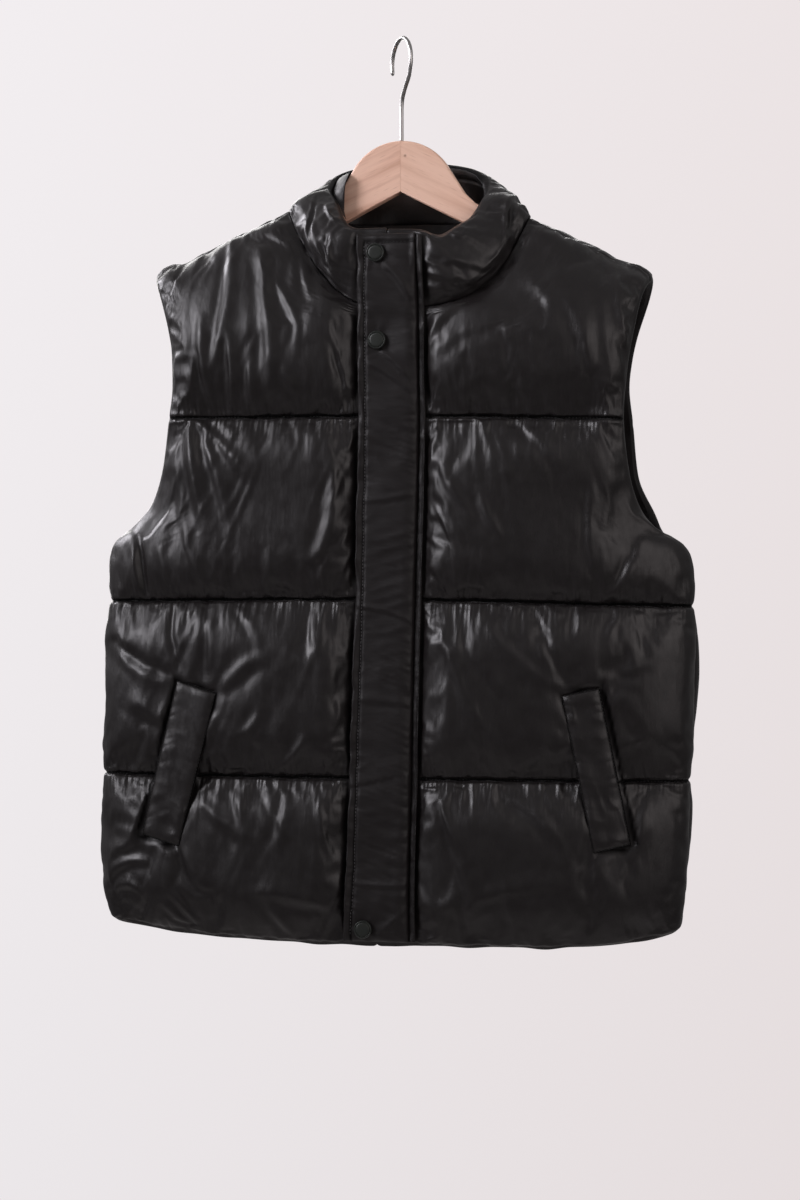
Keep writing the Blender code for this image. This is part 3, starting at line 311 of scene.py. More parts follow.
# folds of the padded panels: from one point to another in front view, bent sideways at the middle
FOLD_COLUMNS = "x0 z0 x1 z1 bend width lift".split()
FOLDS = {
    "front_right": [
        (-0.127, -0.204, -0.113, -0.344, 0.006, 0.0070, 0.0032),
        (-0.105, -0.241, -0.085, -0.279, 0.000, 0.0040, 0.0020),
        (-0.101, -0.316, -0.087, -0.343, 0.000, 0.0040, 0.0018),
        (-0.082, -0.219, -0.074, -0.259, 0.000, 0.0040, 0.0022),
        (-0.157, -0.194, -0.165, -0.310, 0.008, 0.0060, 0.0030),
        (-0.178, -0.269, -0.171, -0.359, -0.003, 0.0050, 0.0022),
        (-0.151, -0.283, -0.153, -0.359, 0.003, 0.0050, 0.0022),
        (-0.131, -0.310, -0.131, -0.354, 0.000, 0.0040, 0.0018),
        (-0.056, -0.283, -0.037, -0.349, 0.004, 0.0040, 0.0018),
        (-0.193, -0.364, -0.174, -0.473, -0.004, 0.0060, 0.0030),
        (-0.191, -0.364, -0.128, -0.426, 0.003, 0.0050, 0.0024),
        (-0.185, -0.366, -0.149, -0.486, 0.005, 0.0050, 0.0024),
        (-0.181, -0.371, -0.136, -0.408, 0.000, 0.0015, 0.0012),
        (-0.199, -0.453, -0.176, -0.528, -0.003, 0.0040, 0.0020),
        (-0.221, -0.486, -0.213, -0.530, 0.000, 0.0040, 0.0018),
        (-0.051, -0.411, -0.070, -0.499, 0.006, 0.0070, 0.0030),
        (-0.246, -0.476, -0.242, -0.539, 0.002, 0.0045, -0.0050),
        (-0.114, -0.485, -0.122, -0.533, 0.002, 0.0040, 0.0016),
        (-0.207, -0.543, -0.199, -0.596, -0.002, 0.0040, 0.0020),
        (-0.173, -0.543, -0.173, -0.609, 0.002, 0.0040, 0.0020),
        (-0.161, -0.624, -0.114, -0.590, 0.004, 0.0060, 0.0030),
        (-0.122, -0.643, -0.144, -0.666, 0.002, 0.0040, 0.0020),
        (-0.078, -0.661, -0.105, -0.696, 0.003, 0.0050, 0.0020),
        (-0.074, -0.548, -0.074, -0.580, 0.000, 0.0030, 0.0016),
        (-0.049, -0.627, -0.051, -0.657, 0.002, 0.0030, 0.0016),
        (-0.270, -0.575, -0.207, -0.610, -0.006, 0.0050, -0.0030),
        (-0.254, -0.633, -0.218, -0.655, 0.002, 0.0080, 0.0026),
        (-0.148, -0.543, -0.122, -0.584, 0.003, 0.0040, 0.0018),
        (-0.183, -0.727, -0.122, -0.766, -0.005, 0.0060, 0.0024),
        (-0.153, -0.717, -0.138, -0.755, 0.002, 0.0040, 0.0018),
        (-0.099, -0.718, -0.109, -0.773, 0.003, 0.0050, 0.0018),
        (-0.273, -0.760, -0.233, -0.769, 0.003, 0.0045, 0.0026),
        (-0.272, -0.783, -0.236, -0.774, 0.005, 0.0045, 0.0030),
        (-0.273, -0.801, -0.232, -0.790, 0.006, 0.0045, 0.0030),
        (-0.271, -0.818, -0.240, -0.818, 0.007, 0.0045, 0.0026),
        (-0.219, -0.825, -0.198, -0.848, -0.002, 0.0040, 0.0020),
        (-0.209, -0.816, -0.188, -0.845, -0.002, 0.0040, 0.0022),
        (-0.199, -0.774, -0.174, -0.813, -0.003, 0.0060, 0.0024),
        (-0.118, -0.722, -0.087, -0.772, -0.003, 0.0025, 0.0014),
        (-0.118, -0.817, -0.092, -0.854, -0.002, 0.0050, 0.0018),
        (-0.134, -0.811, -0.056, -0.827, 0.004, 0.0070, 0.0022),
        (-0.068, -0.725, -0.053, -0.781, -0.003, 0.0040, 0.0018),
    ],
    "front_left": [
        (0.033, -0.295, 0.081, -0.251, 0.004, 0.0050, 0.0028),
        (0.036, -0.273, 0.062, -0.257, 0.002, 0.0040, 0.0020),
        (0.045, -0.306, 0.105, -0.279, 0.005, 0.0060, 0.0020),
        (0.108, -0.352, 0.117, -0.326, 0.000, 0.0040, 0.0018),
        (0.116, -0.328, 0.130, -0.350, 0.000, 0.0040, 0.0016),
        (0.161, -0.260, 0.189, -0.327, 0.005, 0.0070, 0.0026),
        (0.211, -0.239, 0.224, -0.309, -0.004, 0.0060, 0.0022),
        (0.049, -0.332, 0.037, -0.362, 0.000, 0.0030, 0.0016),
        (0.187, -0.430, 0.190, -0.513, -0.005, 0.0040, 0.0024),
        (0.202, -0.445, 0.195, -0.473, 0.000, 0.0030, 0.0016),
        (0.174, -0.502, 0.174, -0.537, 0.000, 0.0040, 0.0018),
        (0.174, -0.543, 0.175, -0.570, 0.000, 0.0040, 0.0018),
        (0.234, -0.471, 0.204, -0.532, 0.004, 0.0050, 0.0024),
        (0.050, -0.407, 0.075, -0.452, -0.003, 0.0050, 0.0024),
        (0.086, -0.435, 0.106, -0.478, -0.003, 0.0040, 0.0024),
        (0.105, -0.409, 0.115, -0.428, 0.000, 0.0040, 0.0016),
        (0.124, -0.374, 0.161, -0.417, 0.004, 0.0050, 0.0018),
        (0.139, -0.541, 0.154, -0.574, -0.002, 0.0040, 0.0020),
        (0.211, -0.541, 0.198, -0.574, 0.002, 0.0040, 0.0020),
        (0.163, -0.622, 0.139, -0.572, 0.003, 0.0040, 0.0022),
        (0.161, -0.620, 0.083, -0.546, 0.008, 0.0050, 0.0024),
        (0.199, -0.614, 0.239, -0.598, 0.003, 0.0040, 0.0020),
        (0.199, -0.620, 0.230, -0.614, 0.000, 0.0030, 0.0016),
        (0.054, -0.576, 0.101, -0.671, -0.006, 0.0050, 0.0026),
        (0.077, -0.574, 0.116, -0.630, -0.004, 0.0040, 0.0018),
        (0.143, -0.667, 0.157, -0.690, 0.000, 0.0040, 0.0016),
        (0.049, -0.724, 0.077, -0.781, -0.004, 0.0050, 0.0020),
        (0.105, -0.715, 0.161, -0.768, 0.005, 0.0060, 0.0024),
        (0.077, -0.816, 0.161, -0.799, 0.004, 0.0070, 0.0020),
        (0.235, -0.721, 0.207, -0.795, 0.005, 0.0060, 0.0022),
    ],
    "back": [
        (-0.120, -0.250, -0.060, -0.330, 0.006, 0.0070, 0.0030),
        (0.130, -0.240, 0.070, -0.335, -0.006, 0.0070, 0.0028),
        (-0.195, -0.270, -0.175, -0.345, 0.004, 0.0060, 0.0024),
        (0.180, -0.280, 0.190, -0.350, 0.004, 0.0050, 0.0022),
        (0.010, -0.200, 0.025, -0.330, 0.005, 0.0060, 0.0020),
        (-0.190, -0.385, -0.120, -0.480, 0.008, 0.0060, 0.0030),
        (0.195, -0.385, 0.130, -0.490, -0.008, 0.0060, 0.0028),
        (-0.060, -0.380, -0.035, -0.450, 0.004, 0.0040, 0.0020),
        (0.060, -0.470, 0.030, -0.528, 0.004, 0.0040, 0.0020),
        (-0.150, -0.480, -0.135, -0.528, 0.003, 0.0040, 0.0020),
        (-0.210, -0.560, -0.150, -0.640, 0.006, 0.0060, 0.0028),
        (0.200, -0.560, 0.150, -0.650, -0.006, 0.0060, 0.0026),
        (0.020, -0.560, 0.045, -0.630, 0.004, 0.0050, 0.0020),
        (-0.070, -0.640, -0.040, -0.695, 0.004, 0.0040, 0.0020),
        (0.120, -0.660, 0.105, -0.700, 0.003, 0.0040, 0.0018),
        (-0.180, -0.730, -0.110, -0.800, 0.006, 0.0060, 0.0026),
        (0.190, -0.730, 0.120, -0.790, -0.006, 0.0060, 0.0026),
        (0.000, -0.730, -0.020, -0.790, 0.004, 0.0050, 0.0020),
    ],
    "collar": [
        (-0.073, -0.181, -0.054, -0.225, -0.003, 0.0040, 0.0035),
        (-0.084, -0.173, -0.065, -0.222, -0.003, 0.0040, 0.0030),
        (-0.065, -0.164, -0.047, -0.182, -0.002, 0.0030, 0.0027),
        (-0.076, -0.157, -0.073, -0.205, -0.002, 0.0016, -0.0030),
        (-0.065, -0.219, -0.044, -0.247, -0.002, 0.0035, 0.0024),
        (-0.060, -0.194, -0.043, -0.225, -0.002, 0.0030, 0.0024),
        (-0.050, -0.196, -0.049, -0.232, -0.002, 0.0030, 0.0034),
        (0.086, -0.175, 0.105, -0.178, 0.001, 0.0024, -0.0040),
        (0.106, -0.159, 0.106, -0.209, 0.003, 0.0028, -0.0046),
        (0.050, -0.190, 0.067, -0.200, -0.002, 0.0030, 0.0024),
        (0.033, -0.221, 0.048, -0.227, 0.000, 0.0020, 0.0016),
        (0.033, -0.231, 0.050, -0.237, 0.000, 0.0020, 0.0019),
        (0.033, -0.242, 0.048, -0.250, 0.000, 0.0020, 0.0016),
        (0.048, -0.222, 0.082, -0.230, 0.003, 0.0050, 0.0019),
        (0.116, -0.171, 0.091, -0.230, 0.005, 0.0050, 0.0024),
    ],
    "placket": [
        (-0.034, -0.543, 0.025, -0.560, 0.004, 0.0022, 0.0016),
        (-0.037, -0.803, 0.024, -0.804, -0.002, 0.0022, 0.0014),
        (-0.024, -0.313, 0.022, -0.344, 0.003, 0.0030, 0.0012),
        (-0.005, -0.222, 0.022, -0.258, 0.003, 0.0030, 0.0014),
        (-0.007, -0.304, 0.020, -0.332, 0.002, 0.0030, 0.0013),
        (-0.030, -0.444, 0.025, -0.437, -0.002, 0.0030, 0.0008),
        (-0.034, -0.631, 0.024, -0.636, 0.002, 0.0040, 0.0008),
        (-0.014, -0.855, 0.014, -0.828, 0.000, 0.0030, 0.0010),
    ],
}

WOOD_THICKNESS = 0.012
CROWN_TOP_Z = -0.0971
CROWN_RADIUS = 0.054
CROWN_SWEEP = 62.0            # degrees of arc each side of the top
ARM_SHOULDER = (0.0625, -0.1490)     # x and z where the crown runs into the arm
NECK_OF_ARM_X = 0.0725
NECK_OF_ARM_Z = {"right": -0.1608, "left": -0.1587}
ARM_SLOPE = {"right": 23.7, "left": 26.5}            # degrees
ARM_STRAIGHT_X = 0.0850
ARM_BELLY = (0.0800, -0.1875)        # lowest point of the curve under the crown
ARM_END_X = 0.2150
ARM_HEIGHT = 0.0200
ARM_END_RADIUS = 0.0095
APEX_Z = -0.1457              # the mitre's lower end
WOOD_BEVEL = 0.0022
MITRE_BEVEL = 0.00012

WIRE_DIAMETER = 0.0040
HOOK_TURN = 34.0              # degrees from -Y towards +X
HOOK_RADIUS = 0.0230          # of the wire's centre line
HOOK_END_ANGLE = 202.0
HOOK_START_ANGLE = -28.0
WIRE_SIDES = 20
WIRE_TIP = (0.35, 0.8, 0.97)  # shares of the wire's radius at its first points
STEM_CURVE = [(0.0185, -0.0365), (0.0075, -0.0485), (0.0012, -0.0590), (0.0, -0.0680),
              (0.0, -0.0780)]

STITCH_PITCH = 0.0032
STITCH_LENGTH = 0.0023
STITCH_RADIUS = 0.00034


# ---------------------------------------------------------------- small tools
def rows(columns, table):
    """Give each row of a table its column names."""
    return [dict(zip(columns, row)) for row in table]


def smooth_column(at, knots, values):
    """Cubic through the knots with slopes limited so that it never overshoots (Fritsch-Carlson)."""
    knots = np.asarray(knots, float)
    values = np.asarray(values, float)
    step = np.diff(knots)
    slope = np.diff(values) / step
    tangent = np.zeros(len(knots))
    tangent[0] = slope[0]
    tangent[-1] = slope[-1]
    same_way = slope[:-1] * slope[1:] > 0
    harmonic = 2 * slope[:-1] * slope[1:] / np.where(same_way, slope[:-1] + slope[1:], 1.0)
    tangent[1:-1] = np.where(same_way, harmonic, 0.0)
    at = np.asarray(at, float)
    i = np.clip(np.searchsorted(knots, at, side="right") - 1, 0, len(step) - 1)
    t = (at - knots[i]) / step[i]
    return (values[i] * (1 + 2 * t) * (1 - t) ** 2 + values[i + 1] * t * t * (3 - 2 * t)
            + step[i] * (tangent[i] * t * (1 - t) ** 2 - tangent[i + 1] * t * t * (1 - t)))


def smooth_points(at, knots, points):
    """The same cubic through points with more than one coordinate."""
    points = np.asarray(points, float)
    return np.stack([smooth_column(at, knots, column) for column in points.T], axis=-1)


def smoothstep(value):
    """0 below 0, 1 above 1, and an S between them."""
    t = np.clip(value, 0.0, 1.0)
    return t * t * (3 - 2 * t)


def swell(distance, reach):
    """Quarter-round: 0 at a seam, 1 from `reach` on, upright at the seam."""
    t = np.clip(distance / reach, 0.0, 1.0)
    return np.sqrt(1.0 - (1.0 - t) ** 2)


def dome(distance, reach):
    """Parabola: 0 at a seam, 1 from `reach` on, with a slope of twice 1 / reach at the seam."""
    t = np.clip(distance / reach, 0.0, 1.0)
    return t * (2 - t)


def bell(distance, width):
    """1 at distance 0, falling as a bell of that width."""
    return np.exp(-(distance / width) ** 2)


def unit(vectors):
    """The vectors divided by their lengths."""
    return vectors / np.maximum(np.linalg.norm(vectors, axis=-1, keepdims=True), 1e-12)


def eased(count, ends):
    """`count` + 1 shares from 0 to 1, closer together at both ends by the sine of the way along."""
    t = np.linspace(0.0, 1.0, count + 1)
    return t - ends * np.sin(2 * math.pi * t) / (2 * math.pi)


def segment_share(x, z, x0, z0, x1, z1):
    """Distance sideways from a line from one point to another, and the share of the way along."""
    dx, dz = x1 - x0, z1 - z0
    long = math.hypot(dx, dz)
    share = ((x - x0) * dx + (z - z0) * dz) / long ** 2
    return ((x - x0) * dz - (z - z0) * dx) / long, share


def along(surface, axis):
    """Length along each grid line from its start."""
    steps = np.linalg.norm(np.diff(surface, axis=axis), axis=-1)
    start = np.zeros_like(np.take(steps, [0], axis=axis))
    return np.cumsum(np.concatenate([start, steps], axis=axis), axis=axis)


def ripple(s, pitch, seed):
    """Wave of random heights from -1 to 1, a pitch apart along s, joined by an S curve."""
    heights = np.random.default_rng(seed).uniform(-1.0, 1.0, 2048)
    t = np.asarray(s) / pitch + 1024.0
    i = np.floor(t).astype(int)
    share = smoothstep(t - i)
    return heights[i % 2048] * (1 - share) + heights[(i + 1) % 2048] * share


def clouds(a, b, pitch, seed):
    """Random heights from -1 to 1 on a lattice a pitch apart, joined by S curves both ways."""
    heights = np.random.default_rng(seed).uniform(-1.0, 1.0, (128, 128))
    u, v = np.asarray(a) / pitch + 64.0, np.asarray(b) / pitch + 64.0
    i, j = np.floor(u).astype(int), np.floor(v).astype(int)
    p, q = smoothstep(u - i), smoothstep(v - j)
    i, j = i % 127, j % 127
    low = heights[i, j] * (1 - p) + heights[i + 1, j] * p
    high = heights[i, j + 1] * (1 - p) + heights[i + 1, j + 1] * p
    return low * (1 - q) + high * q


# ---------------------------------------------------------------- meshes
RIM_SHARES = (0.2, 0.4, 0.6, 0.8, 1.0)
RIM_BULGE = 0.0024
HEM_WAVE = 0.6
CLOTH_SLOT = "black_nylon"


def add_piece(name, points, faces, finish, slot=CLOTH_SLOT):
    """A new smooth mesh object that rides on the part's one body."""
    mesh = bpy.data.meshes.new(name)
    mesh.from_pydata(np.asarray(points, float).tolist(), [], [list(map(int, f)) for f in faces])
    mesh.materials.append(finish)
    mesh.shade_smooth()
    piece = bpy.data.objects.new(name, mesh)
    bpy.context.scene.collection.objects.link(piece)
    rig.ride(piece, "root")
    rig.slot(piece, slot)
    return piece


def grid_faces(high, wide, flip=False):
    """Quads of a grid of high x wide points, numbered row by row."""
    grid = np.arange(high * wide).reshape(high, wide)
    a, b, c, d = grid[:-1, :-1], grid[:-1, 1:], grid[1:, 1:], grid[1:, :-1]
    loop = [d, c, b, a] if flip else [a, b, c, d]
    return np.stack(loop, -1).reshape(-1, 4)


def grid_loop(high, wide):
    """Row and column of each point round a grid: along row 0, up the last column, back along the
    last row and down column 0."""
    loop = [(0, j) for j in range(wide - 1)]
    loop += [(i, wide - 1) for i in range(high - 1)]
    loop += [(high - 1, j) for j in range(wide - 1, 0, -1)]
    loop += [(i, 0) for i in range(high - 1, 0, -1)]
    return np.array(loop)


def point_numbers(place, wide):
    """Numbers of the points at those rows and columns of a grid."""
    return place[:, 0] * wide + place[:, 1]


def faced_along(points, faces, way):
    """Turn all faces round if most of them look against `way`."""
    a, b, c = points[faces[:, 0]], points[faces[:, 1]], points[faces[:, 2]]
    agree = (np.cross(b - a, c - a) * way[faces[:, 0]]).sum()
    return faces if agree > 0 else faces[:, ::-1]


def runs_with(faces, loop):
    """True if the first step of the loop is an edge that a face runs the same way."""
    following = np.roll(faces, -1, axis=1)
    return bool(np.any((faces == loop[0]) & (following == loop[1])))


def close_rim(points, faces, loop, inner_edge, bulge):
    """Strip from the shell's edge round to the inner edge, bulging by the sine of the way round."""
    if runs_with(faces, loop):
        loop, inner_edge, bulge = loop[::-1], inner_edge[::-1], bulge[::-1]
    edge = points[loop]
    rings = [loop]
    added = []
    for number, share in enumerate(RIM_SHARES):
        added.append(edge * (1 - share) + inner_edge * share + bulge * math.sin(math.pi * share))
        rings.append(len(points) + number * len(loop) + np.arange(len(loop)))
    strips = [np.stack([near, np.roll(near, -1), np.roll(far, -1), far], -1)
              for near, far in zip(rings[:-1], rings[1:])]
    return np.concatenate([points, *added]), np.concatenate([faces, *strips])


def tube_faces(rings, around):
    """Quads of a tube of rings with `around` points each, numbered ring by ring."""
    k = np.arange(around)
    following = (k + 1) % around
    starts = np.arange(rings - 1)[:, None] * around
    return np.stack([starts + k, starts + following, starts + around + following,
                     starts + around + k], -1).reshape(-1, 4).tolist()


def tube_caps(rings, around):
    """The faces that close such a tube at its first and its last ring."""
    k = np.arange(around)
    return [k[::-1].tolist(), ((rings - 1) * around + k).tolist()]


def padded_patch(name, inner, outer, finish, bulge):
    """A patch with its rim closed down to the inner grid, and bulging out along the grid."""
    high, wide = inner.shape[:2]
    loop = point_numbers(grid_loop(high, wide), wide)
    out = np.zeros_like(outer)
    out[0] += unit(outer[0] - outer[1])
    out[-1] += unit(outer[-1] - outer[-2])
    out[:, 0] += unit(outer[:, 0] - outer[:, 1])
    out[:, -1] += unit(outer[:, -1] - outer[:, -2])
    points = outer.reshape(-1, 3)
    faces = faced_along(points, grid_faces(high, wide), (outer - inner).reshape(-1, 3))
    points, faces = close_rim(points, faces, loop, inner.reshape(-1, 3)[loop],
                              out.reshape(-1, 3)[loop] * bulge)
    piece = add_piece(name, points, faces, finish)
    subdivide(piece)
    return piece


def mark(piece, name, shares, rim=0.0):
    """Point attribute that the cloth's finish reads: "seam" paints shade on it, "pucker" creases it.

    The grid's points come first and take the shares; the rim's points all take the value `rim`."""
    values = np.full(len(piece.data.vertices), rim)
    values[:shares.size] = shares.ravel()
    layer = piece.data.attributes.new(name, "FLOAT", "POINT")
    layer.data.foreach_set("value", values)


def subdivide(piece):
    """Round the piece off with one subdivision that keeps the corners of its open edges."""
    modifier = piece.modifiers.new("round", "SUBSURF")
    modifier.levels = 1
    modifier.render_levels = 1
    modifier.boundary_smooth = "PRESERVE_CORNERS"


def shown_points(piece):
    """The points of a piece with its modifiers applied."""
    shown = piece.evaluated_get(bpy.context.evaluated_depsgraph_get())
    mesh = shown.to_mesh()
    flat = np.empty(len(mesh.vertices) * 3)
    mesh.vertices.foreach_get("co", flat)
    shown.to_mesh_clear()
    return flat.reshape(-1, 3)


def blow_up(points, faces, held, outward, pressure=1.2, slack=0.03, rise=0.0032, sink=0.0016,
            aside=0.004, frames=20):
    """Cloth simulation with pressure and no gravity; `held` is 1 at a point that is sewn down.

    The cloth is `slack` longer than its seams, which gathers it there.  How far a point may rise
    or sink along `outward` and move aside is eased to its limit by a hyperbolic tangent."""
    mesh = bpy.data.meshes.new("blown cloth")
    mesh.from_pydata(points.tolist(), [], faces.tolist())
    pillow = bpy.data.objects.new("blown cloth", mesh)
    bpy.context.scene.collection.objects.link(pillow)
    group = pillow.vertex_groups.new(name="sewn")
    group.add(np.flatnonzero(held > 0.5).tolist(), 1.0, "REPLACE")
    cloth = pillow.modifiers.new("cloth", "CLOTH")
    settings = cloth.settings
    settings.vertex_group_mass = "sewn"
    settings.quality = 5
    settings.mass = 0.02
    settings.air_damping = 4.0
    settings.tension_stiffness = 20.0
    settings.compression_stiffness = 20.0
    settings.shear_stiffness = 7.0
    settings.bending_stiffness = 0.2
    settings.use_pressure = True
    settings.uniform_pressure_force = pressure
    settings.shrink_min = -slack
    settings.shrink_max = -slack
    settings.effector_weights.gravity = 0.0
    cloth.collision_settings.use_collision = False
    cloth.point_cache.frame_start = 1
    cloth.point_cache.frame_end = frames
    scene = bpy.context.scene
    for step in range(1, frames + 1):
        scene.frame_set(step)
    moved = shown_points(pillow) - points
    scene.frame_set(1)
    bpy.data.objects.remove(pillow, do_unlink=True)
    up = (moved * outward).sum(axis=1, keepdims=True)
    flat = moved - up * outward
    slide = np.linalg.norm(flat, axis=1, keepdims=True)
    up = np.where(up > 0, rise * np.tanh(up / rise), sink * np.tanh(up / sink))
    return points + up * outward + flat * aside * np.tanh(slide / aside) / np.maximum(slide, 1e-9)


# ---------------------------------------------------------------- finishes
MIX_SHARE, MIX_FIRST, MIX_SECOND, MIX_RESULT = 0, 6, 7, 2    # sockets of a colour mix
# painted shade in the quilting's grooves and round the rims: the colour and shine that the "seam" mark mixes the cloth
# towards
SEAM_SHADE_COLOUR = (0.001, 0.001, 0.001)
SEAM_SHADE_SHINE = 0.03
CRINKLE_TURN = (0.0, 0.12, 0.0)
PUCKER_SCALE = (150.0, 20.0, 24.0)           # per metre across, in depth and along the puckers
PUCKER_HEIGHT = 0.0050
GRAIN_SCALE = (7.0, 95.0, 1.0)               # per metre along the arm and across it
PORE_SCALE = (60.0, 900.0, 1.0)
PORE_DARKNESS = np.array([0.72, 0.62, 0.55])
KNOT_COLOUR = (0.30, 0.13, 0.08)
KNOT_PLACE = (0.0540, -0.0979)


def new_finish(name):
    """A new material, its nodes and links, and its shader."""
    made = bpy.data.materials.new(name)
    made.use_nodes = True
    return made, made.node_tree.nodes, made.node_tree.links, made.node_tree.nodes["Principled BSDF"]


def plain(name, colour, roughness):
    """One even colour."""
    made, _, _, shader = new_finish(name)
    shader.inputs["Base Color"].default_value = (*colour, 1.0)
    shader.inputs["Roughness"].default_value = roughness
    return made


def noise(nodes, links, vector, scale, detail=4.0, roughness=0.55):
    """Fractal noise from about 0.3 to 0.7, `scale` waves a metre on an unscaled vector."""
    made = nodes.new("ShaderNodeTexNoise")
    made.inputs["Scale"].default_value = scale
    made.inputs["Detail"].default_value = detail
    made.inputs["Roughness"].default_value = roughness
    links.new(vector, made.inputs["Vector"])
    return made.outputs["Fac"]


def ranged(nodes, links, value, low, high, to_low, to_high):
    """The value carried in a straight line from one range to another, and kept within it."""
    made = nodes.new("ShaderNodeMapRange")
    made.inputs["From Min"].default_value = low
    made.inputs["From Max"].default_value = high
    made.inputs["To Min"].default_value = to_low
    made.inputs["To Max"].default_value = to_high
    links.new(value, made.inputs["Value"])
    return made.outputs["Result"]


def bump(nodes, links, height, distance, strength, normal=None):
    """Normal bent as by relief of that height, on top of the one given."""
    made = nodes.new("ShaderNodeBump")
    made.inputs["Strength"].default_value = strength
    made.inputs["Distance"].default_value = distance
    links.new(height, made.inputs["Height"])
    if normal is not None:
        links.new(normal, made.inputs["Normal"])
    return made.outputs["Normal"]


def mapped(nodes, links, vector, scale, turn=(0.0, 0.0, 0.0)):
    """The vector scaled and turned, so that noise on it is drawn out one way."""
    made = nodes.new("ShaderNodeMapping")
    made.inputs["Scale"].default_value = scale
    made.inputs["Rotation"].default_value = turn
    links.new(vector, made.inputs["Vector"])
    return made.outputs["Vector"]


def mixed(nodes, links, share, first, second):
    """Colour from the first at share 0 to the second at 1; each is a colour or a socket."""
    made = nodes.new("ShaderNodeMix")
    made.data_type = "RGBA"
    links.new(share, made.inputs[MIX_SHARE])
    for place, colour in ((MIX_FIRST, first), (MIX_SECOND, second)):
        if isinstance(colour, bpy.types.NodeSocket):
            links.new(colour, made.inputs[place])
        else:
            made.inputs[place].default_value = (*colour, 1.0)
    return made.outputs[MIX_RESULT]


def marked(nodes, name):
    """The share that mark() put on the piece's points."""
    made = nodes.new("ShaderNodeAttribute")
    made.attribute_name = name
    return made.outputs["Fac"]


def nylon(name, colour, roughness, crinkles, stretch=(1.0, 1.0, 0.28), shine=0.42):
    """Down-proof nylon: long soft creases, short puckers by the quilting, a very fine weave and a
    roughness that varies.  Where it is marked "seam" it takes painted shade, nearly black and dull."""
    made, nodes, links, shader = new_finish(name)
    shader.inputs["Sheen Weight"].default_value = 0.02
    shader.inputs["Sheen Roughness"].default_value = 0.5
    # painted shade: the "seam" mark darkens the colour and takes away the shine
    seam = marked(nodes, "seam")
    links.new(mixed(nodes, links, seam, colour, SEAM_SHADE_COLOUR), shader.inputs["Base Color"])
    links.new(ranged(nodes, links, seam, 0.0, 0.7, shine, SEAM_SHADE_SHINE),
              shader.inputs["Specular IOR Level"])
    place = nodes.new("ShaderNodeTexCoord").outputs["Object"]
    drawn = mapped(nodes, links, place, stretch, CRINKLE_TURN)
    long = noise(nodes, links, drawn, 90.0, 2.5)
    crinkle = noise(nodes, links, place, 85.0, 5.0)
    fine = noise(nodes, links, drawn, 330.0, 2.0)
    weave = noise(nodes, links, place, 2600.0, 0.0)
    links.new(ranged(nodes, links, crinkle, 0.3, 0.7, roughness - 0.06, roughness + 0.08),
              shader.inputs["Roughness"])
    normal = bump(nodes, links, long, 0.0013, crinkles)
    normal = bump(nodes, links, crinkle, 0.0006, crinkles * 0.7, normal)
    normal = bump(nodes, links, fine, 0.0002, crinkles, normal)
    upright = mapped(nodes, links, place, PUCKER_SCALE)
    ridges = nodes.new("ShaderNodeMath")
    ridges.operation = "MULTIPLY"
    links.new(noise(nodes, links, upright, 1.0, 1.0), ridges.inputs[0])
    links.new(marked(nodes, "pucker"), ridges.inputs[1])
    normal = bump(nodes, links, ridges.outputs["Value"], PUCKER_HEIGHT, 1.0, normal)
    normal = bump(nodes, links, weave, 0.00005, 0.5, normal)
    links.new(normal, shader.inputs["Normal"])
    return made


def beech(name, light, dark, knot=None):
    """Lacquered beech: long grain along the arm from stretched noise, short pores and a knot."""
    made, nodes, links, shader = new_finish(name)
    grain_map = nodes.new("ShaderNodeUVMap")
    grain_map.uv_map = "grain"
    place = grain_map.outputs["UV"]
    grain = noise(nodes, links, mapped(nodes, links, place, GRAIN_SCALE), 1.0, 4.0)
    pore = noise(nodes, links, mapped(nodes, links, place, PORE_SCALE), 1.0, 1.0)
    colour = mixed(nodes, links, ranged(nodes, links, grain, 0.42, 0.66, 0.0, 1.0), light, dark)
    flecks = ranged(nodes, links, pore, 0.64, 0.74, 0.0, 0.45)
    colour = mixed(nodes, links, flecks, colour, tuple(PORE_DARKNESS * dark))
    if knot:
        away = nodes.new("ShaderNodeVectorMath")
        away.operation = "DISTANCE"
        away.inputs[1].default_value = (*knot, 0.0)
        links.new(place, away.inputs[0])
        near = ranged(nodes, links, away.outputs["Value"], 0.0004, 0.0018, 0.8, 0.0)
        colour = mixed(nodes, links, near, colour, KNOT_COLOUR)
    links.new(colour, shader.inputs["Base Color"])
    links.new(ranged(nodes, links, grain, 0.3, 0.7, 0.42, 0.52), shader.inputs["Roughness"])
    links.new(bump(nodes, links, pore, 0.0001, 0.3), shader.inputs["Normal"])
    return made


def painted(name, colour, roughness, metallic, grain):
    """A metal or paint with a fine uneven surface."""
    made, nodes, links, shader = new_finish(name)
    shader.inputs["Base Color"].default_value = (*colour, 1.0)
    shader.inputs["Metallic"].default_value = metallic
    place = nodes.new("ShaderNodeTexCoord").outputs["Object"]
    speckle = noise(nodes, links, place, grain, 3.0)
    links.new(ranged(nodes, links, speckle, 0.3, 0.7, roughness - 0.06, roughness + 0.06),
              shader.inputs["Roughness"])
    links.new(bump(nodes, links, speckle, 0.00004, 0.4), shader.inputs["Normal"])
    return made


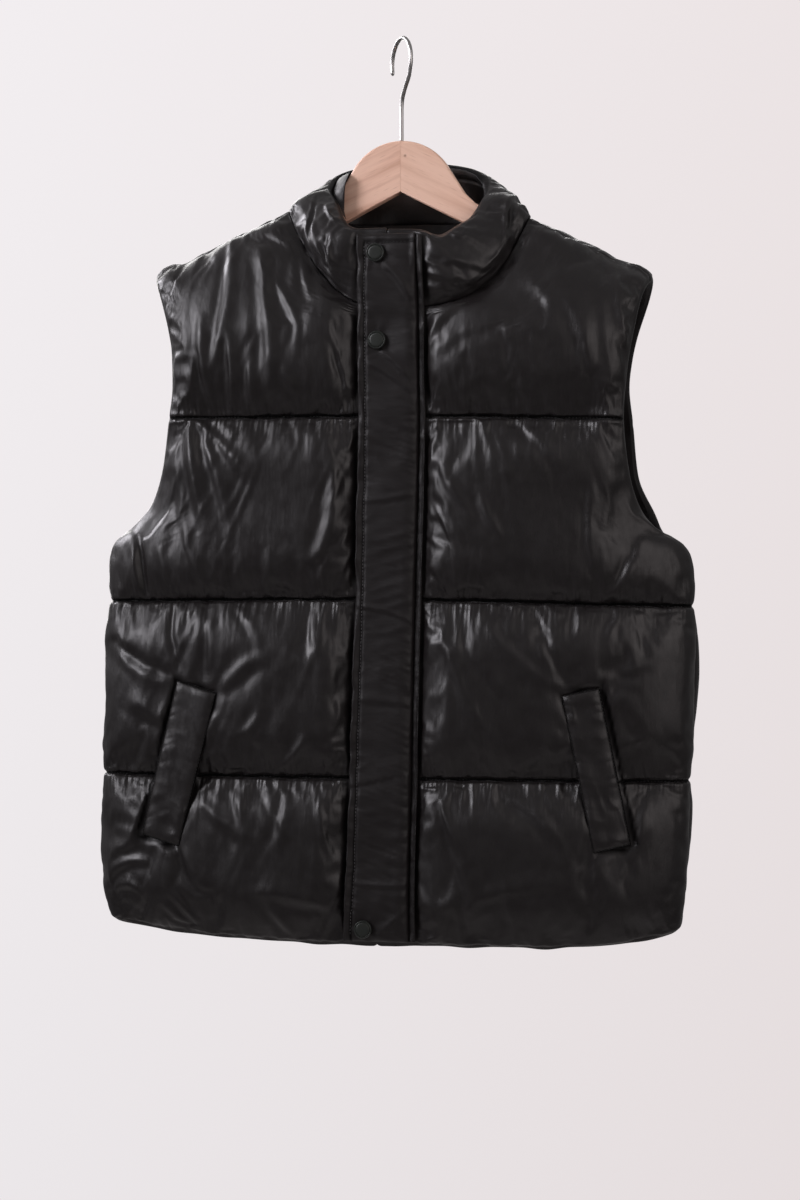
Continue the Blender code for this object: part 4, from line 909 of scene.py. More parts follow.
SHELL = nylon("shell nylon", (0.0084, 0.0066, 0.0068), 0.38, 0.42)
LINING = nylon("lining nylon", (0.0084, 0.0066, 0.0068), 0.42, 0.40)
STRIP = nylon("placket nylon", (0.0074, 0.0056, 0.0058), 0.50, 0.42, (0.30, 1.0, 1.0), 0.30)
QUILT_THREAD = painted("black thread", (0.004, 0.004, 0.004), 0.85, 0.0, 900.0)
PALE_THREAD = painted("grey thread", (0.055, 0.052, 0.054), 0.6, 0.0, 900.0)
SNAP_PAINT = painted("snap enamel", (0.020, 0.023, 0.020), 0.42, 0.35, 700.0)
STEEL = painted("brushed steel", (0.46, 0.45, 0.44), 0.32, 1.0, 90.0)
BEECH = {"right": beech("beech right", (0.90, 0.59, 0.45), (0.66, 0.36, 0.25)),
         "left": beech("beech left", (0.90, 0.60, 0.46), (0.76, 0.46, 0.33), KNOT_PLACE)}


# ---------------------------------------------------------------- the neck
def neck_ring(side, angle):
    """Inner end of the neck seam at `angle` degrees from the centre front (180 is the nape)."""
    turn = np.radians(np.asarray(angle, float))
    across = np.sin(turn)
    x = NECK_CENTRE_X + (NECK_SHOULDER_X[side] - NECK_CENTRE_X) * across
    front = turn <= math.pi / 2
    y = np.where(front,
                 SHOULDER_SEAM_Y + (NECK_FRONT_Y - SHOULDER_SEAM_Y) * np.cos(turn),
                 SHOULDER_SEAM_Y - (NECK_BACK_Y - SHOULDER_SEAM_Y) * np.cos(turn))
    shoulder = NECK_SHOULDER_Z[side]
    z = np.where(front,
                 shoulder + (NECK_FRONT_Z - shoulder) * (1 - across ** NECK_CURVE[side]),
                 shoulder + (NECK_BACK_Z - shoulder) * (1 - across ** 2))
    return np.stack([x, y, z], -1)


def neck_direction(side, angle):
    """Way that the wall stands at the neck seam: forward or back at the centre, up at the side."""
    turn = np.radians(np.asarray(angle, float))
    across = np.sin(turn)
    return unit(np.stack([SIDE_SIGN[side] * NECK_SIDE_LEAN * across,
                          -np.cos(turn) * (1 - NECK_FRONT_LOSS * across ** 2),
                          across ** 2], -1))


# ---------------------------------------------------------------- body panels
QUILTED_EASE = 0.62           # how much closer the grid's rows are next to the quilting
TOP_POWER = 1.5
NECK_POWER = 1.35
DEPTH_POWER = 2.4             # the panel stays deep for most of its width, then turns in
PLACE_MARGIN = 1e-6           # table rows


def flare_at(z):
    """Share of the back's flare at a height: full low in the armhole, none at the armpit."""
    return bell(z - BACK_FLARE_Z, BACK_FLARE_SPREAD)


def panel_knots(side, face):
    """Table rows of one half of a front or back, and their places from the hem to the shoulder."""
    tail = "_r" if side == "right" else "_l"
    depth_sign = -1.0 if face == "front" else 1.0
    body = rows(ROW_COLUMNS, BODY_ROWS)
    if face == "back":
        body = body[:-1] + rows(ROW_COLUMNS, UPPER_BACK_ROWS)
    neck = rows(NECK_ROW_COLUMNS, FRONT_NECK_ROWS if face == "front" else BACK_NECK_ROWS)
    every = body + neck
    start = float(len(body))
    edge = np.array([(row["x" + tail], depth_sign * row["gap"], row["z" + tail]) for row in every])
    if face == "back":
        edge[:, 0] += SIDE_SIGN[side] * BACK_FLARE * flare_at(edge[:, 2])
    corner = neck_ring(side, 0 if face == "front" else 180)
    centre = [(row["mid_x"], depth_sign * row["mid_y"], row["mid_z"]) for row in body]
    return {
        "face": face,
        "places": np.array([float(k) for k in range(len(body))]
                           + [start + NECK_SPAN * row["neck"] / 90 for row in neck]),
        "neck_start": start,
        "seams": [0.0] + [float(k) for k, row in enumerate(body) if row["name"] in QUILT_ROWS],
        "armpit": float([row["name"] for row in body].index("armpit")),
        "centre": np.array(centre + [tuple(corner)]),
        "edge": edge,
        "puff": np.array([row["puff"] for row in every]),
        "round": np.array([row["round"] for row in every]),
    }


def row_places(knots, per_row, top_rows, neck_rows):
    """Places of the grid's rows, closer together next to the quilt seams."""
    places = []
    for low, high in zip(knots["seams"][:-1], knots["seams"][1:]):
        places.extend(low + (high - low) * eased(per_row, QUILTED_EASE)[:-1])
    low, high = knots["seams"][-1], knots["neck_start"]
    shares = np.linspace(0, 1, top_rows + 1)[:-1] ** TOP_POWER
    places.extend(low + (high - low) * shares)
    turns = np.linspace(0, 1, neck_rows + 1)
    places.extend(high + NECK_SPAN * (1 - (1 - turns) ** NECK_POWER))
    return np.array(places)


def centre_edge(side, places, knots):
    """The panel's edge: up the centre line, then round the neck to the shoulder seam."""
    start = knots["neck_start"]
    count = len(knots["centre"])
    line = smooth_points(np.minimum(places, start), np.arange(count, dtype=float), knots["centre"])
    angle = np.maximum(places - start, 0.0) / NECK_SPAN * 90
    ring = neck_ring(side, angle if knots["face"] == "front" else 180 - angle)
    return np.where((places > start)[:, None], ring, line)


def base_surface(side, columns, places, knots):
    """Ruled in front view; its depth falls from the centre edge to the side edge as a round."""
    inner_edge = centre_edge(side, places, knots)[:, None, :]
    outer_edge = smooth_points(places, knots["places"], knots["edge"])[:, None, :]
    power = smooth_column(places, knots["places"], knots["round"])[:, None]
    share = np.asarray(columns, float)[None, :]
    fall = (1 - share ** DEPTH_POWER) ** (1 / power)
    surface = inner_edge + (outer_edge - inner_edge) * share[..., None]
    sweep = 1 + (HEM_SWEEP[side] - 1) * (1 - smoothstep(places))[:, None]
    surface[..., 2] = inner_edge[..., 2] + (outer_edge - inner_edge)[..., 2] * share ** sweep
    surface[..., 1] = outer_edge[..., 1] + (inner_edge[..., 1] - outer_edge[..., 1]) * fall
    return surface, smooth_column(places, knots["places"], knots["puff"])[:, None]


def surface_normals(surface, outward_y):
    """Unit normals of a grid, on the side where y has the sign of `outward_y`."""
    down = np.gradient(surface, axis=0)
    across = np.gradient(surface, axis=1)
    normal = unit(np.cross(across, down))
    middle = normal[normal.shape[0] // 3, normal.shape[1] // 2, 1]
    return normal * (1.0 if middle * outward_y > 0 else -1.0)


def welt_bed(side, face, surface):
    """1 where a pocket welt lies on the panel, falling to 0 round it."""
    bed = np.zeros(surface.shape[:2])
    for welt in rows(WELT_COLUMNS, WELTS):
        if face == "back" or not welt["name"].endswith(side):
            continue
        corner = np.array(welt["low_in"])
        across = np.subtract(welt["low_out"], corner)
        up = np.subtract(welt["top_in"], corner)
        offset = surface[..., [0, 2]] - corner
        u, v = np.moveaxis(offset @ np.linalg.inv(np.stack([across, up])), -1, 0)
        beside = (abs(u - 0.5) - 0.5) * np.linalg.norm(across)
        beyond = (abs(v - 0.5) - 0.5) * np.linalg.norm(up)
        outside = np.maximum(beside, beyond) + WELT_BED_INSET
        bed = np.maximum(bed, 1 - smoothstep(outside / WELT_BED_FADE))
    return bed


def panel(side, face, columns, places):
    """One half of a front or back: its inner grid, which way the wall stands at each point, the
    wall's thickness, and the distances from the seams that its creases are worked out from."""
    knots = panel_knots(side, face)
    inner, puff = base_surface(side, columns, places, knots)
    neck_start = knots["neck_start"] + PLACE_MARGIN
    outward_y = -1.0 if face == "front" else 1.0
    normal = surface_normals(inner, outward_y)

    length = along(inner, 0)
    seam_rows = [int(np.argmin(abs(places - seam))) for seam in knots["seams"]] + [-1]
    from_row = np.min([abs(length - length[row]) for row in seam_rows], axis=0)
    from_quilting = np.min([abs(length - length[row]) for row in seam_rows[1:-1]], axis=0)
    width = along(inner, 1)
    from_side = width[:, -1:] - width
    ring_angles = np.linspace(0, 180, 181)
    ring = neck_ring(side, ring_angles)
    to_ring = np.linalg.norm(inner[:, :, None, :] - ring[None, None], axis=-1)
    from_neck = to_ring.min(axis=2)
    nearest = to_ring.argmin(axis=2)
    fullness = (dome(from_row, PUFF_REACH) * swell(from_side, PUFF_REACH)
                * swell(from_neck, PUFF_REACH))
    from_front_edge = np.full(inner.shape[:2], 1.0)
    if face == "front":
        from_front_edge = abs(inner[..., 0] - inner[:, :1, 0]) - PLACKET_ZONE[side]
        near_neck = places[:, None] > neck_start
        from_centre = abs(inner[..., 0] - NECK_CENTRE_X) - PLACKET_ZONE[side]
        from_front_edge = np.where(near_neck, from_centre, from_front_edge)
        fullness = fullness * swell(np.maximum(from_front_edge, 0.0), FRONT_EDGE_PUFF_REACH)

    to_shoulder = length[-1:] - length
    on_shoulder = 1 - smoothstep(to_shoulder / SHOULDER_REACH)
    floor = WALL_AT_SEAM + (SHOULDER_WALL[side] - WALL_AT_SEAM) * on_shoulder
    at_armpit = bell(places[:, None] - knots["armpit"] - ARMPIT_CORNER, ARMPIT_SPREAD)
    floor = floor + SIDE_FULLNESS * bell(from_side - SIDE_REACH, SIDE_REACH) * (1 - at_armpit)
    floor = floor - ARMPIT_THIN * at_armpit * bell(from_side, SIDE_REACH)
    full = puff + (SHOULDER_PUFF[side] - puff) * on_shoulder
    if face == "front":
        placket_zone = 1 - smoothstep(from_front_edge / PLACKET_ZONE_FADE)
        floor = floor + (WALL_AT_FRONT_EDGE - floor) * placket_zone
    thickness = floor + (full - floor) * fullness
    bed = welt_bed(side, face, inner)

    def lean(way, distance, reach):
        """The wall's direction: `way` at the edge, square to the surface from `reach` on."""
        share = smoothstep(distance / reach)[..., None]
        return unit(way * (1 - share) + normal * share)

    side_rows = places[:, None] <= knots["armpit"] + SIDE_SEAM_END
    sideways = np.broadcast_to(np.array([SIDE_SIGN[side], 0.0, 0.0]), normal.shape)
    normal = np.where(side_rows[..., None], lean(sideways, from_side, SIDE_LEAN), normal)
    straight_out = np.broadcast_to(np.array([0.0, outward_y, 0.0]), normal.shape)
    on_centre = (places[:, None] <= neck_start)[..., None]
    normal = np.where(on_centre, lean(straight_out, width, CENTRE_LEAN), normal)
    shoulder_way = np.broadcast_to(neck_direction(side, 90), normal.shape)
    normal = lean(shoulder_way, to_shoulder, NECK_LEAN)
    normal = lean(neck_direction(side, ring_angles)[nearest], from_neck, NECK_LEAN)
    return {"side": side, "face": face, "places": places, "knots": knots, "inner": inner,
            "way": normal, "thickness": thickness, "fullness": fullness, "length": length,
            "seam_rows": seam_rows, "from_row": from_row, "from_side": from_side,
            "from_neck": from_neck, "ring_place": nearest, "from_front_edge": from_front_edge,
            "to_shoulder": to_shoulder, "bed": bed, "from_quilting": from_quilting}


# ---------------------------------------------------------------- creases
GROOVE_DEPTH = 0.0021         # the stitching sinks this far into the padding
GROOVE_WIDTH = 0.0022
# painted shade: how wide it is in the quilting's groove
SEAM_SHADE_WIDTH = 0.0010
PUCKER_REACH = 0.013
# painted shade that the points round a rim all take
RIM_PAINTED_SHADE = 0.30
CREASE_SHARE = {"right": 1.0, "left": 0.72}          # the left half hangs smoother
FOLD_VALLEY = 0.45
FOLD_VALLEY_AT = 1.5          # widths beside the crest


# gathers at a seam: how high, how far apart, and how far they reach
SEAM_GATHERS = (((0.0016, 0.0070, 0.010), 0), ((0.0016, 0.0130, 0.026), 400),
                ((0.0010, 0.0240, 0.055), 500))      # each with what it adds to the seed
SIDE_GATHERS = (0.0012, 0.009, 0.016)
NECK_GATHERS = (0.0010, 0.009, 0.018)
FRONT_EDGE_GATHERS = (0.0012, 0.008, 0.014)
GATHER_RISE = 0.003
# streaks: how high, how far they lean, how far apart, and how many times longer than wide
PANEL_STREAKS = (0.0017, 0.10, 0.0125, 4.5)
LEANING_STREAKS = (0.0013, 0.45, 0.0095, 5.0)
STREAK_PATCHES = 0.050
PANEL_LUMPS = (0.0010, 0.060)                # how high and how far apart
PANEL_SEEDS = {"right": 10, "left": 40}
BACK_SEED = 100
NECK_SEAM_STEP = 0.0025       # metres of neck seam for each degree round it


def gathers(s, distance, wave, seed):
    """Rounded ridges with sharp valleys that start at a seam and die out over their reach.

    The absolute value of a random wave along the seam makes the ridges; they rise within 3 mm of
    the seam and fall off with the distance, further at some places than at others."""
    lift, pitch, reach = wave
    lengths = 0.65 + 0.35 * ripple(s, pitch * 6, seed + 1)
    lean = ripple(s, pitch * 9, seed + 2) * 0.5
    ridges = abs(ripple(s + lean * distance, pitch, seed)) - 0.4
    rise = smoothstep(distance / GATHER_RISE)
    return lift * (ridges * rise * np.exp(-distance / (reach * lengths)))


def streaks(x, z, wave, seed, way=1.0):
    """Long rounded ridges of noise stretched along a leaning direction, in patches."""
    lift, lean, pitch, stretch = wave
    ridges = 0.45 - abs(clouds(x + lean * way * z, z / stretch, pitch, seed))
    return lift * (ridges * smoothstep(0.55 + 0.9 * clouds(x, z, STREAK_PATCHES, seed + 1)))


def lumps(a, b, wave, seed):
    """Soft lumps and dents."""
    lift, pitch = wave
    return lift * clouds(a, b, pitch, seed)


def fold_heights(name, x, z):
    """Sum of the piece's folds: a bell across the bent line, steeper on the side where a valley
    runs along it, that tapers by the square root of the sine of the way along."""
    height = np.zeros(x.shape)
    for fold in rows(FOLD_COLUMNS, FOLDS[name]):
        aside, share = segment_share(x, z, fold["x0"], fold["z0"], fold["x1"], fold["z1"])
        aside = aside + fold["bend"] * 4 * share * (1 - share)
        taper = np.sqrt(np.sin(math.pi * np.clip(share, 0.0, 1.0)))
        width = fold["width"] * np.where(aside > 0, 0.7, 1.2) * (0.6 + 0.4 * taper)
        beside = bell(aside - FOLD_VALLEY_AT * fold["width"], 0.8 * fold["width"])
        height += fold["lift"] * taper * (bell(aside, width) - FOLD_VALLEY * beside)
    return height


def crease_height(part):
    """How far the creases raise or lower the shell of a body panel."""
    side, face = part["side"], part["face"]
    x = part["inner"][..., 0]
    z = part["inner"][..., 2]
    seed = PANEL_SEEDS[side] + (BACK_SEED if face == "back" else 0)
    height = np.zeros(x.shape)
    for number, row in enumerate(part["seam_rows"]):
        rise = part["length"] - part["length"][row]
        for way in (-1.0, 1.0):
            distance = np.where(rise * way >= 0, abs(rise), 1.0)
            side_seed = seed + number * 7 + (3 if way > 0 else 0)
            for wave, more in SEAM_GATHERS:
                height += gathers(x, distance, wave, side_seed + more)
    height += gathers(z, part["from_side"], SIDE_GATHERS, seed + 60)
    round_neck = part["ring_place"] * NECK_SEAM_STEP
    height += gathers(round_neck, part["from_neck"], NECK_GATHERS, seed + 70)
    if face == "front":
        beside = np.maximum(part["from_front_edge"], 0.0)
        height += gathers(z, beside, FRONT_EDGE_GATHERS, seed + 80)
    height += lumps(x, z, PANEL_LUMPS, seed + 90)
    creases = streaks(x, z, PANEL_STREAKS, seed + 92, SIDE_SIGN[side])
    creases += streaks(x, z, LEANING_STREAKS, seed + 94, SIDE_SIGN[side])
    name = "back" if face == "back" else f"front_{side}"
    height += CREASE_SHARE[side] * (creases + fold_heights(name, x, z))
    return height * np.clip(part["fullness"] * 3.0, 0.0, 1.0)


def stitched_groove(part):
    """Depth of the groove along the quilting."""
    return GROOVE_DEPTH * bell(part["from_row"], GROOVE_WIDTH)


# ---------------------------------------------------------------- body shells and linings
FRONT_GRID = {"columns": 104, "per_row": 44, "top_rows": 20, "neck_rows": 32}
BACK_GRID = {"columns": 60, "per_row": 36, "top_rows": 18, "neck_rows": 28}
LINING_GRID = {"columns": 44, "per_row": 24, "top_rows": 12, "neck_rows": 18}
LINING_PUFF = 0.0025
LINING_GATHERS = (0.0010, 0.010, 0.020)
LINING_SEEDS = {"front": 320, "back": 300}
RIM_SMOOTHING = 5             # loop points that the rim's bulge is averaged over
HEM_WAVE_PITCH = 0.024
HEM_WAVE_SEED = 131
# painted shade where a welt's edge presses into the panel
WELT_EDGE_PAINTED_SHADE = 0.8
PUCKER_PITCH = 0.021
PUCKER_SEED = 801
PUCKER_START = 0.002


def panel_half(side, face, size):
    """One half of a front or back on a grid of the given size."""
    knots = panel_knots(side, face)
    places = row_places(knots, size["per_row"], size["top_rows"], size["neck_rows"])
    return panel(side, face, eased(size["columns"], 0.35), places)


def shell_points(part):
    """Outer grid: the inner grid moved out by the padding, its creases and the stitched groove,
    and flat where a welt lies on it."""
    thickness = part["thickness"] + crease_height(part) - stitched_groove(part)
    thickness = thickness + (WELT_BED - thickness) * part["bed"]
    return part["inner"] + part["way"] * thickness[..., None]


def held_points(part):
    """1 where the shell is sewn down: edges, quilting, under the welts and under the placket."""
    held = np.zeros(part["inner"].shape[:2])
    held[0] = held[-1] = 1
    held[:, -1] = 1
    held[part["seam_rows"]] = 1
    held[part["from_front_edge"] < 0] = 1
    held[part["bed"] > 0.97] = 1
    if part["face"] == "front":
        held[:, 0] = 1
    else:
        held[part["places"] >= part["knots"]["neck_start"] - PLACE_MARGIN, 0] = 1
    return held


def rim_bulges(part, loop):
    """Which way and how far the rim bulges at each loop point: out of the hem and the armhole."""
    inner = part["inner"]
    high, wide = inner.shape[:2]
    i, j = loop.T
    down = unit(inner[0] - inner[2])
    out = unit(inner[:, -1] - inner[:, -3])
    open_edge = part["places"] > part["knots"]["armpit"] + PLACE_MARGIN
    bulge = np.zeros((len(loop), 3))
    bulge += np.where((i == 0)[:, None], down[j], 0.0)
    side = (j == wide - 1) & (i < high - 1)
    bulge += np.where((side & open_edge[i])[:, None], out[i], 0.0)
    beyond = RIM_SMOOTHING // 2
    weights = np.ones(RIM_SMOOTHING) / RIM_SMOOTHING
    wrapped = np.concatenate([bulge[-beyond:], bulge, bulge[:beyond]])
    smooth = np.stack([np.convolve(wrapped[:, k], weights, "valid") for k in range(3)], -1)
    wave = 1 + HEM_WAVE * ripple(inner[i, j, 0], HEM_WAVE_PITCH, HEM_WAVE_SEED)
    return smooth * RIM_BULGE * wave[:, None]


def finish_shell(name, points, faces, held, outward, loop, inner_edge, bulge, seam, pucker):
    """Blow the shell up, close its rim and put it in the place of the CAD node of that name."""
    faces = faced_along(points, faces, outward)
    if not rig.quick():
        points = blow_up(points, faces, held, outward)
    points, faces = close_rim(points, faces, loop, inner_edge, bulge)
    piece = add_piece(f"{name}_shell", points, faces, SHELL)
    # painted shade along the quilting and round the rim
    mark(piece, "seam", seam, RIM_PAINTED_SHADE)
    mark(piece, "pucker", pucker)
    subdivide(piece)
    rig.padded(piece, fill=0.6)
    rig.replaces(piece, name)
    return piece


def seam_painted_shade(part):
    """Painted shade: 1 in the quilting's groove and where a welt's edge presses into the panel."""
    beside_welt = 4 * part["bed"] * (1 - part["bed"])
    return np.maximum(bell(part["from_quilting"], SEAM_SHADE_WIDTH),
                      WELT_EDGE_PAINTED_SHADE * beside_welt)


def pucker_share(part):
    """1 next to the quilting, dying out with the distance, and further at some places."""
    x = part["inner"][..., 0]
    reach = PUCKER_REACH * (1 + 0.5 * ripple(x, PUCKER_PITCH, PUCKER_SEED))
    distance = part["from_quilting"]
    return smoothstep(distance / PUCKER_START) * np.exp(-distance / reach) * (1 - part["bed"])


def make_front(side):
    """The shell and the quilting stitches of one front."""
    part = panel_half(side, "front", FRONT_GRID)
    high, wide = part["inner"].shape[:2]
    place = grid_loop(high, wide)
    loop = point_numbers(place, wide)
    points = shell_points(part)
    for number, row in enumerate(part["seam_rows"][1:-1]):
        stitches(f"quilting_{side}_{number + 1}", points[row], part["way"][row], QUILT_THREAD)
    # the shell takes painted shade along its quilting and round its rim
    return finish_shell(f"front_{side}", points.reshape(-1, 3), grid_faces(high, wide),
                        held_points(part).ravel(), part["way"].reshape(-1, 3), loop,
                        part["inner"].reshape(-1, 3)[loop], rim_bulges(part, place),
                        seam_painted_shade(part), pucker_share(part))


def joined_halves(high, wide, nape):
    """Numbers of the left half's points when it shares the right half's centre line up to the nape,
    and which points of both halves are then used."""
    own = np.arange(high * wide).reshape(high, wide)
    number = high * wide + own
    shared = np.zeros((high, wide), bool)
    shared[:nape + 1, 0] = True
    number[shared] = own[shared]
    used = np.concatenate([np.ones(high * wide, bool), ~shared.ravel()])
    packed = np.cumsum(used) - 1
    return packed[number], used


def back_halves(size):
    """Both halves of the back, the numbering that joins them, and the row of the nape."""
    halves = [panel_half(side, "back", size) for side in ("right", "left")]
    start = halves[0]["knots"]["neck_start"] + PLACE_MARGIN
    nape = int(np.searchsorted(halves[0]["places"], start)) - 1
    high, wide = halves[0]["inner"].shape[:2]
    number, used = joined_halves(high, wide, nape)
    quads = grid_faces(high, wide)
    faces = np.concatenate([quads, number.ravel()[quads][:, ::-1]])
    return halves, number, used, faces, nape


def make_back():
    """The shell and the quilting stitches of the back, both halves in one piece."""
    halves, number, used, faces, nape = back_halves(BACK_GRID)
    high, wide = halves[0]["inner"].shape[:2]
    shells = [shell_points(part) for part in halves]
    ways = [part["way"] for part in halves]

    def both(values):
        """What the two halves have for their points, in the numbering that joins them."""
        return np.concatenate([value.reshape(high * wide, -1) for value in values])[used]

    def across(values, row):
        """A row of both halves as one line from the right side seam to the left."""
        return np.concatenate([values[0][row][::-1], values[1][row]])

    inner = both([part["inner"] for part in halves])
    held = both([held_points(part) for part in halves])[:, 0]
    place = grid_loop(high, wide)
    place = place[(place[:, 1] > 0) | (place[:, 0] >= nape) | (place[:, 0] == 0)]
    left_loop = number[place[:, 0], place[:, 1]]
    right_loop = point_numbers(place, wide)
    loop = np.concatenate([right_loop, left_loop[:0:-1]])
    bulges = [rim_bulges(part, place) for part in halves]
    bulge = np.concatenate([bulges[0], bulges[1][:0:-1]])
    keep = np.ones(len(loop), bool)
    keep[len(right_loop)] = left_loop[-1] != right_loop[-1]
    for seam_number, row in enumerate(halves[0]["seam_rows"][1:-1]):
        stitches(f"quilting_back_{seam_number + 1}", across(shells, row), across(ways, row),
                 QUILT_THREAD)
    # painted shade along the quilting, for both halves
    seam = both([seam_painted_shade(part) for part in halves])
    pucker = both([pucker_share(part) for part in halves])
    return finish_shell("back", both(shells), faces, held, both(ways), loop[keep],
                        inner[loop[keep]], bulge[keep], seam, pucker)


def lining_points(part):
    """The inner grid, puffed a little inwards between the quilting, with gathers at each seam."""
    puff = LINING_PUFF * swell(part["from_row"], 0.05) * swell(part["from_side"], 0.04)
    puff = puff * swell(part["from_neck"], 0.04)
    x = part["inner"][..., 0]
    seed = LINING_SEEDS[part["face"]]
    for number, row in enumerate(part["seam_rows"]):
        rise = part["length"] - part["length"][row]
        puff = puff + gathers(x, abs(rise), LINING_GATHERS, seed + number)
    return part["inner"] - part["way"] * puff[..., None]


def make_front_lining(side):
    """The inside of one front."""
    part = panel_half(side, "front", LINING_GRID)
    high, wide = part["inner"].shape[:2]
    points = lining_points(part).reshape(-1, 3)
    faces = faced_along(points, grid_faces(high, wide), -part["way"].reshape(-1, 3))
    piece = add_piece(f"front_{side}_lining", points, faces, LINING)
    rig.padded(piece, fill=0.4)
    return piece


def make_back_lining():
    """The inside of the back, both halves in one piece."""
    halves, _, used, faces, _ = back_halves(LINING_GRID)
    points = np.concatenate([lining_points(part).reshape(-1, 3) for part in halves])[used]
    inwards = -np.concatenate([part["way"].reshape(-1, 3) for part in halves])[used]
    piece = add_piece("back_lining", points, faced_along(points, faces, inwards), LINING)
    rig.padded(piece, fill=0.4)
    return piece


# ---------------------------------------------------------------- stitches
STITCH_SIDES = 6
STITCH_POINTS = 2 * STITCH_SIDES + 2
STITCH_LIFT = 0.0002


def stitches(name, path, outward, thread):
    """A short capsule for each stitch along a path: two rings of points between two end points."""
    path = np.asarray(path, float)
    lengths = np.concatenate([[0.0], np.cumsum(np.linalg.norm(np.diff(path, axis=0), axis=1))])
    count = int(lengths[-1] / STITCH_PITCH)
    middle = (np.arange(count) + 0.5) * lengths[-1] / count

    def at(place, values):
        """Values of the path's points read at lengths along it."""
        return np.stack([np.interp(place, lengths, values[:, k]) for k in range(3)], -1)

    out = unit(at(middle, outward))
    centre = at(middle, path) + out * STITCH_LIFT
    forward = unit(at(middle + 0.0005, path) - at(middle - 0.0005, path))
    across = unit(np.cross(forward, out))
    turns = np.radians(np.arange(STITCH_SIDES) * 360 / STITCH_SIDES)
    ring = (across[:, None] * np.cos(turns)[None, :, None]
            + out[:, None] * np.sin(turns)[None, :, None]) * STITCH_RADIUS
    reach = forward[:, None] * (STITCH_LENGTH / 2 - STITCH_RADIUS)
    tip = forward[:, None] * STITCH_LENGTH / 2
    points = np.concatenate([centre[:, None] - tip, centre[:, None] - reach + ring,
                             centre[:, None] + reach + ring, centre[:, None] + tip], axis=1)
    near = 1 + np.arange(STITCH_SIDES)
    far = near + STITCH_SIDES
    first = np.zeros(STITCH_SIDES, int)
    last = np.full(STITCH_SIDES, STITCH_POINTS - 1)
    sides = np.stack([near, np.roll(near, -1), np.roll(far, -1), far], -1)
    ends = np.concatenate([np.stack([first, np.roll(near, -1), near], -1),
                           np.stack([last, far, np.roll(far, -1)], -1)])
    starts = (np.arange(count) * STITCH_POINTS)[:, None, None]
    faces = (starts + sides[None]).reshape(-1, 4).tolist()
    faces += (starts + ends[None]).reshape(-1, 3).tolist()
    return add_piece(name, points.reshape(-1, 3), faces, thread)


# ---------------------------------------------------------------- collar
COLLAR_GRID = {"columns": 84, "rows": 36}
COLLAR_SEEDS = {"right": 600, "left": 640}
COLLAR_FOOT_GATHERS = (0.0014, 0.0085, 0.014)
COLLAR_RIM_GATHERS = (0.0012, 0.0095, 0.016)
COLLAR_FRONT_GATHERS = (0.0016, 0.0080, 0.012)
COLLAR_LUMPS = (0.0012, 0.030)
COLLAR_STREAKS = (0.0014, 0.4, 0.0110, 3.0)
FOLDS_END_Y = 0.012           # the collar's folds lie in front of this, and fade out before it
FOLDS_FADE = 0.010
FACING_STITCH_INSET = 0.011
FACING_GATHERS = (0.0012, 0.008, 0.012)
FACING_LUMPS = (0.0016, 0.022)
FACING_PUFF = 0.0022
FACING_GROOVE = 0.0012
FACING_RIM = 0.012
FACING_WAVE = 0.0016
FACING_TUCK = (0.0025, 0.005)                # the lining's foot goes out and down into the seam
# the lining bags out between the rim and the hanger at the right shoulder: the bag's far edge
LINING_BAG_COLUMNS = "turn x y z".split()
LINING_BAG = [
    (62,  -0.0490, -0.0250, -0.1740),
    (72,  -0.0520, -0.0190, -0.1640),
    (84,  -0.0524, -0.0160, -0.1530),
    (97,  -0.0520, -0.0150, -0.1400),
    (110, -0.0497, -0.0130, -0.1310),
    (120, -0.0515,  0.0020, -0.1255),
    (130, -0.0585,  0.0300, -0.1212),
]
LINING_BAG_DEPTH = 0.0042
LINING_BAG_TUCK = 225         # degrees round the bag's section, where 180 is the far edge
LINING_BAG_GRID = (56, 26)    # points along the rim and round the section
LINING_BAG_WAY = (0.25, -1.0, 0.10)
LINING_BAG_STREAKS = (0.0026, 0.2, 0.0070, 2.5)
LINING_BAG_LUMPS = (0.0012, 0.014)


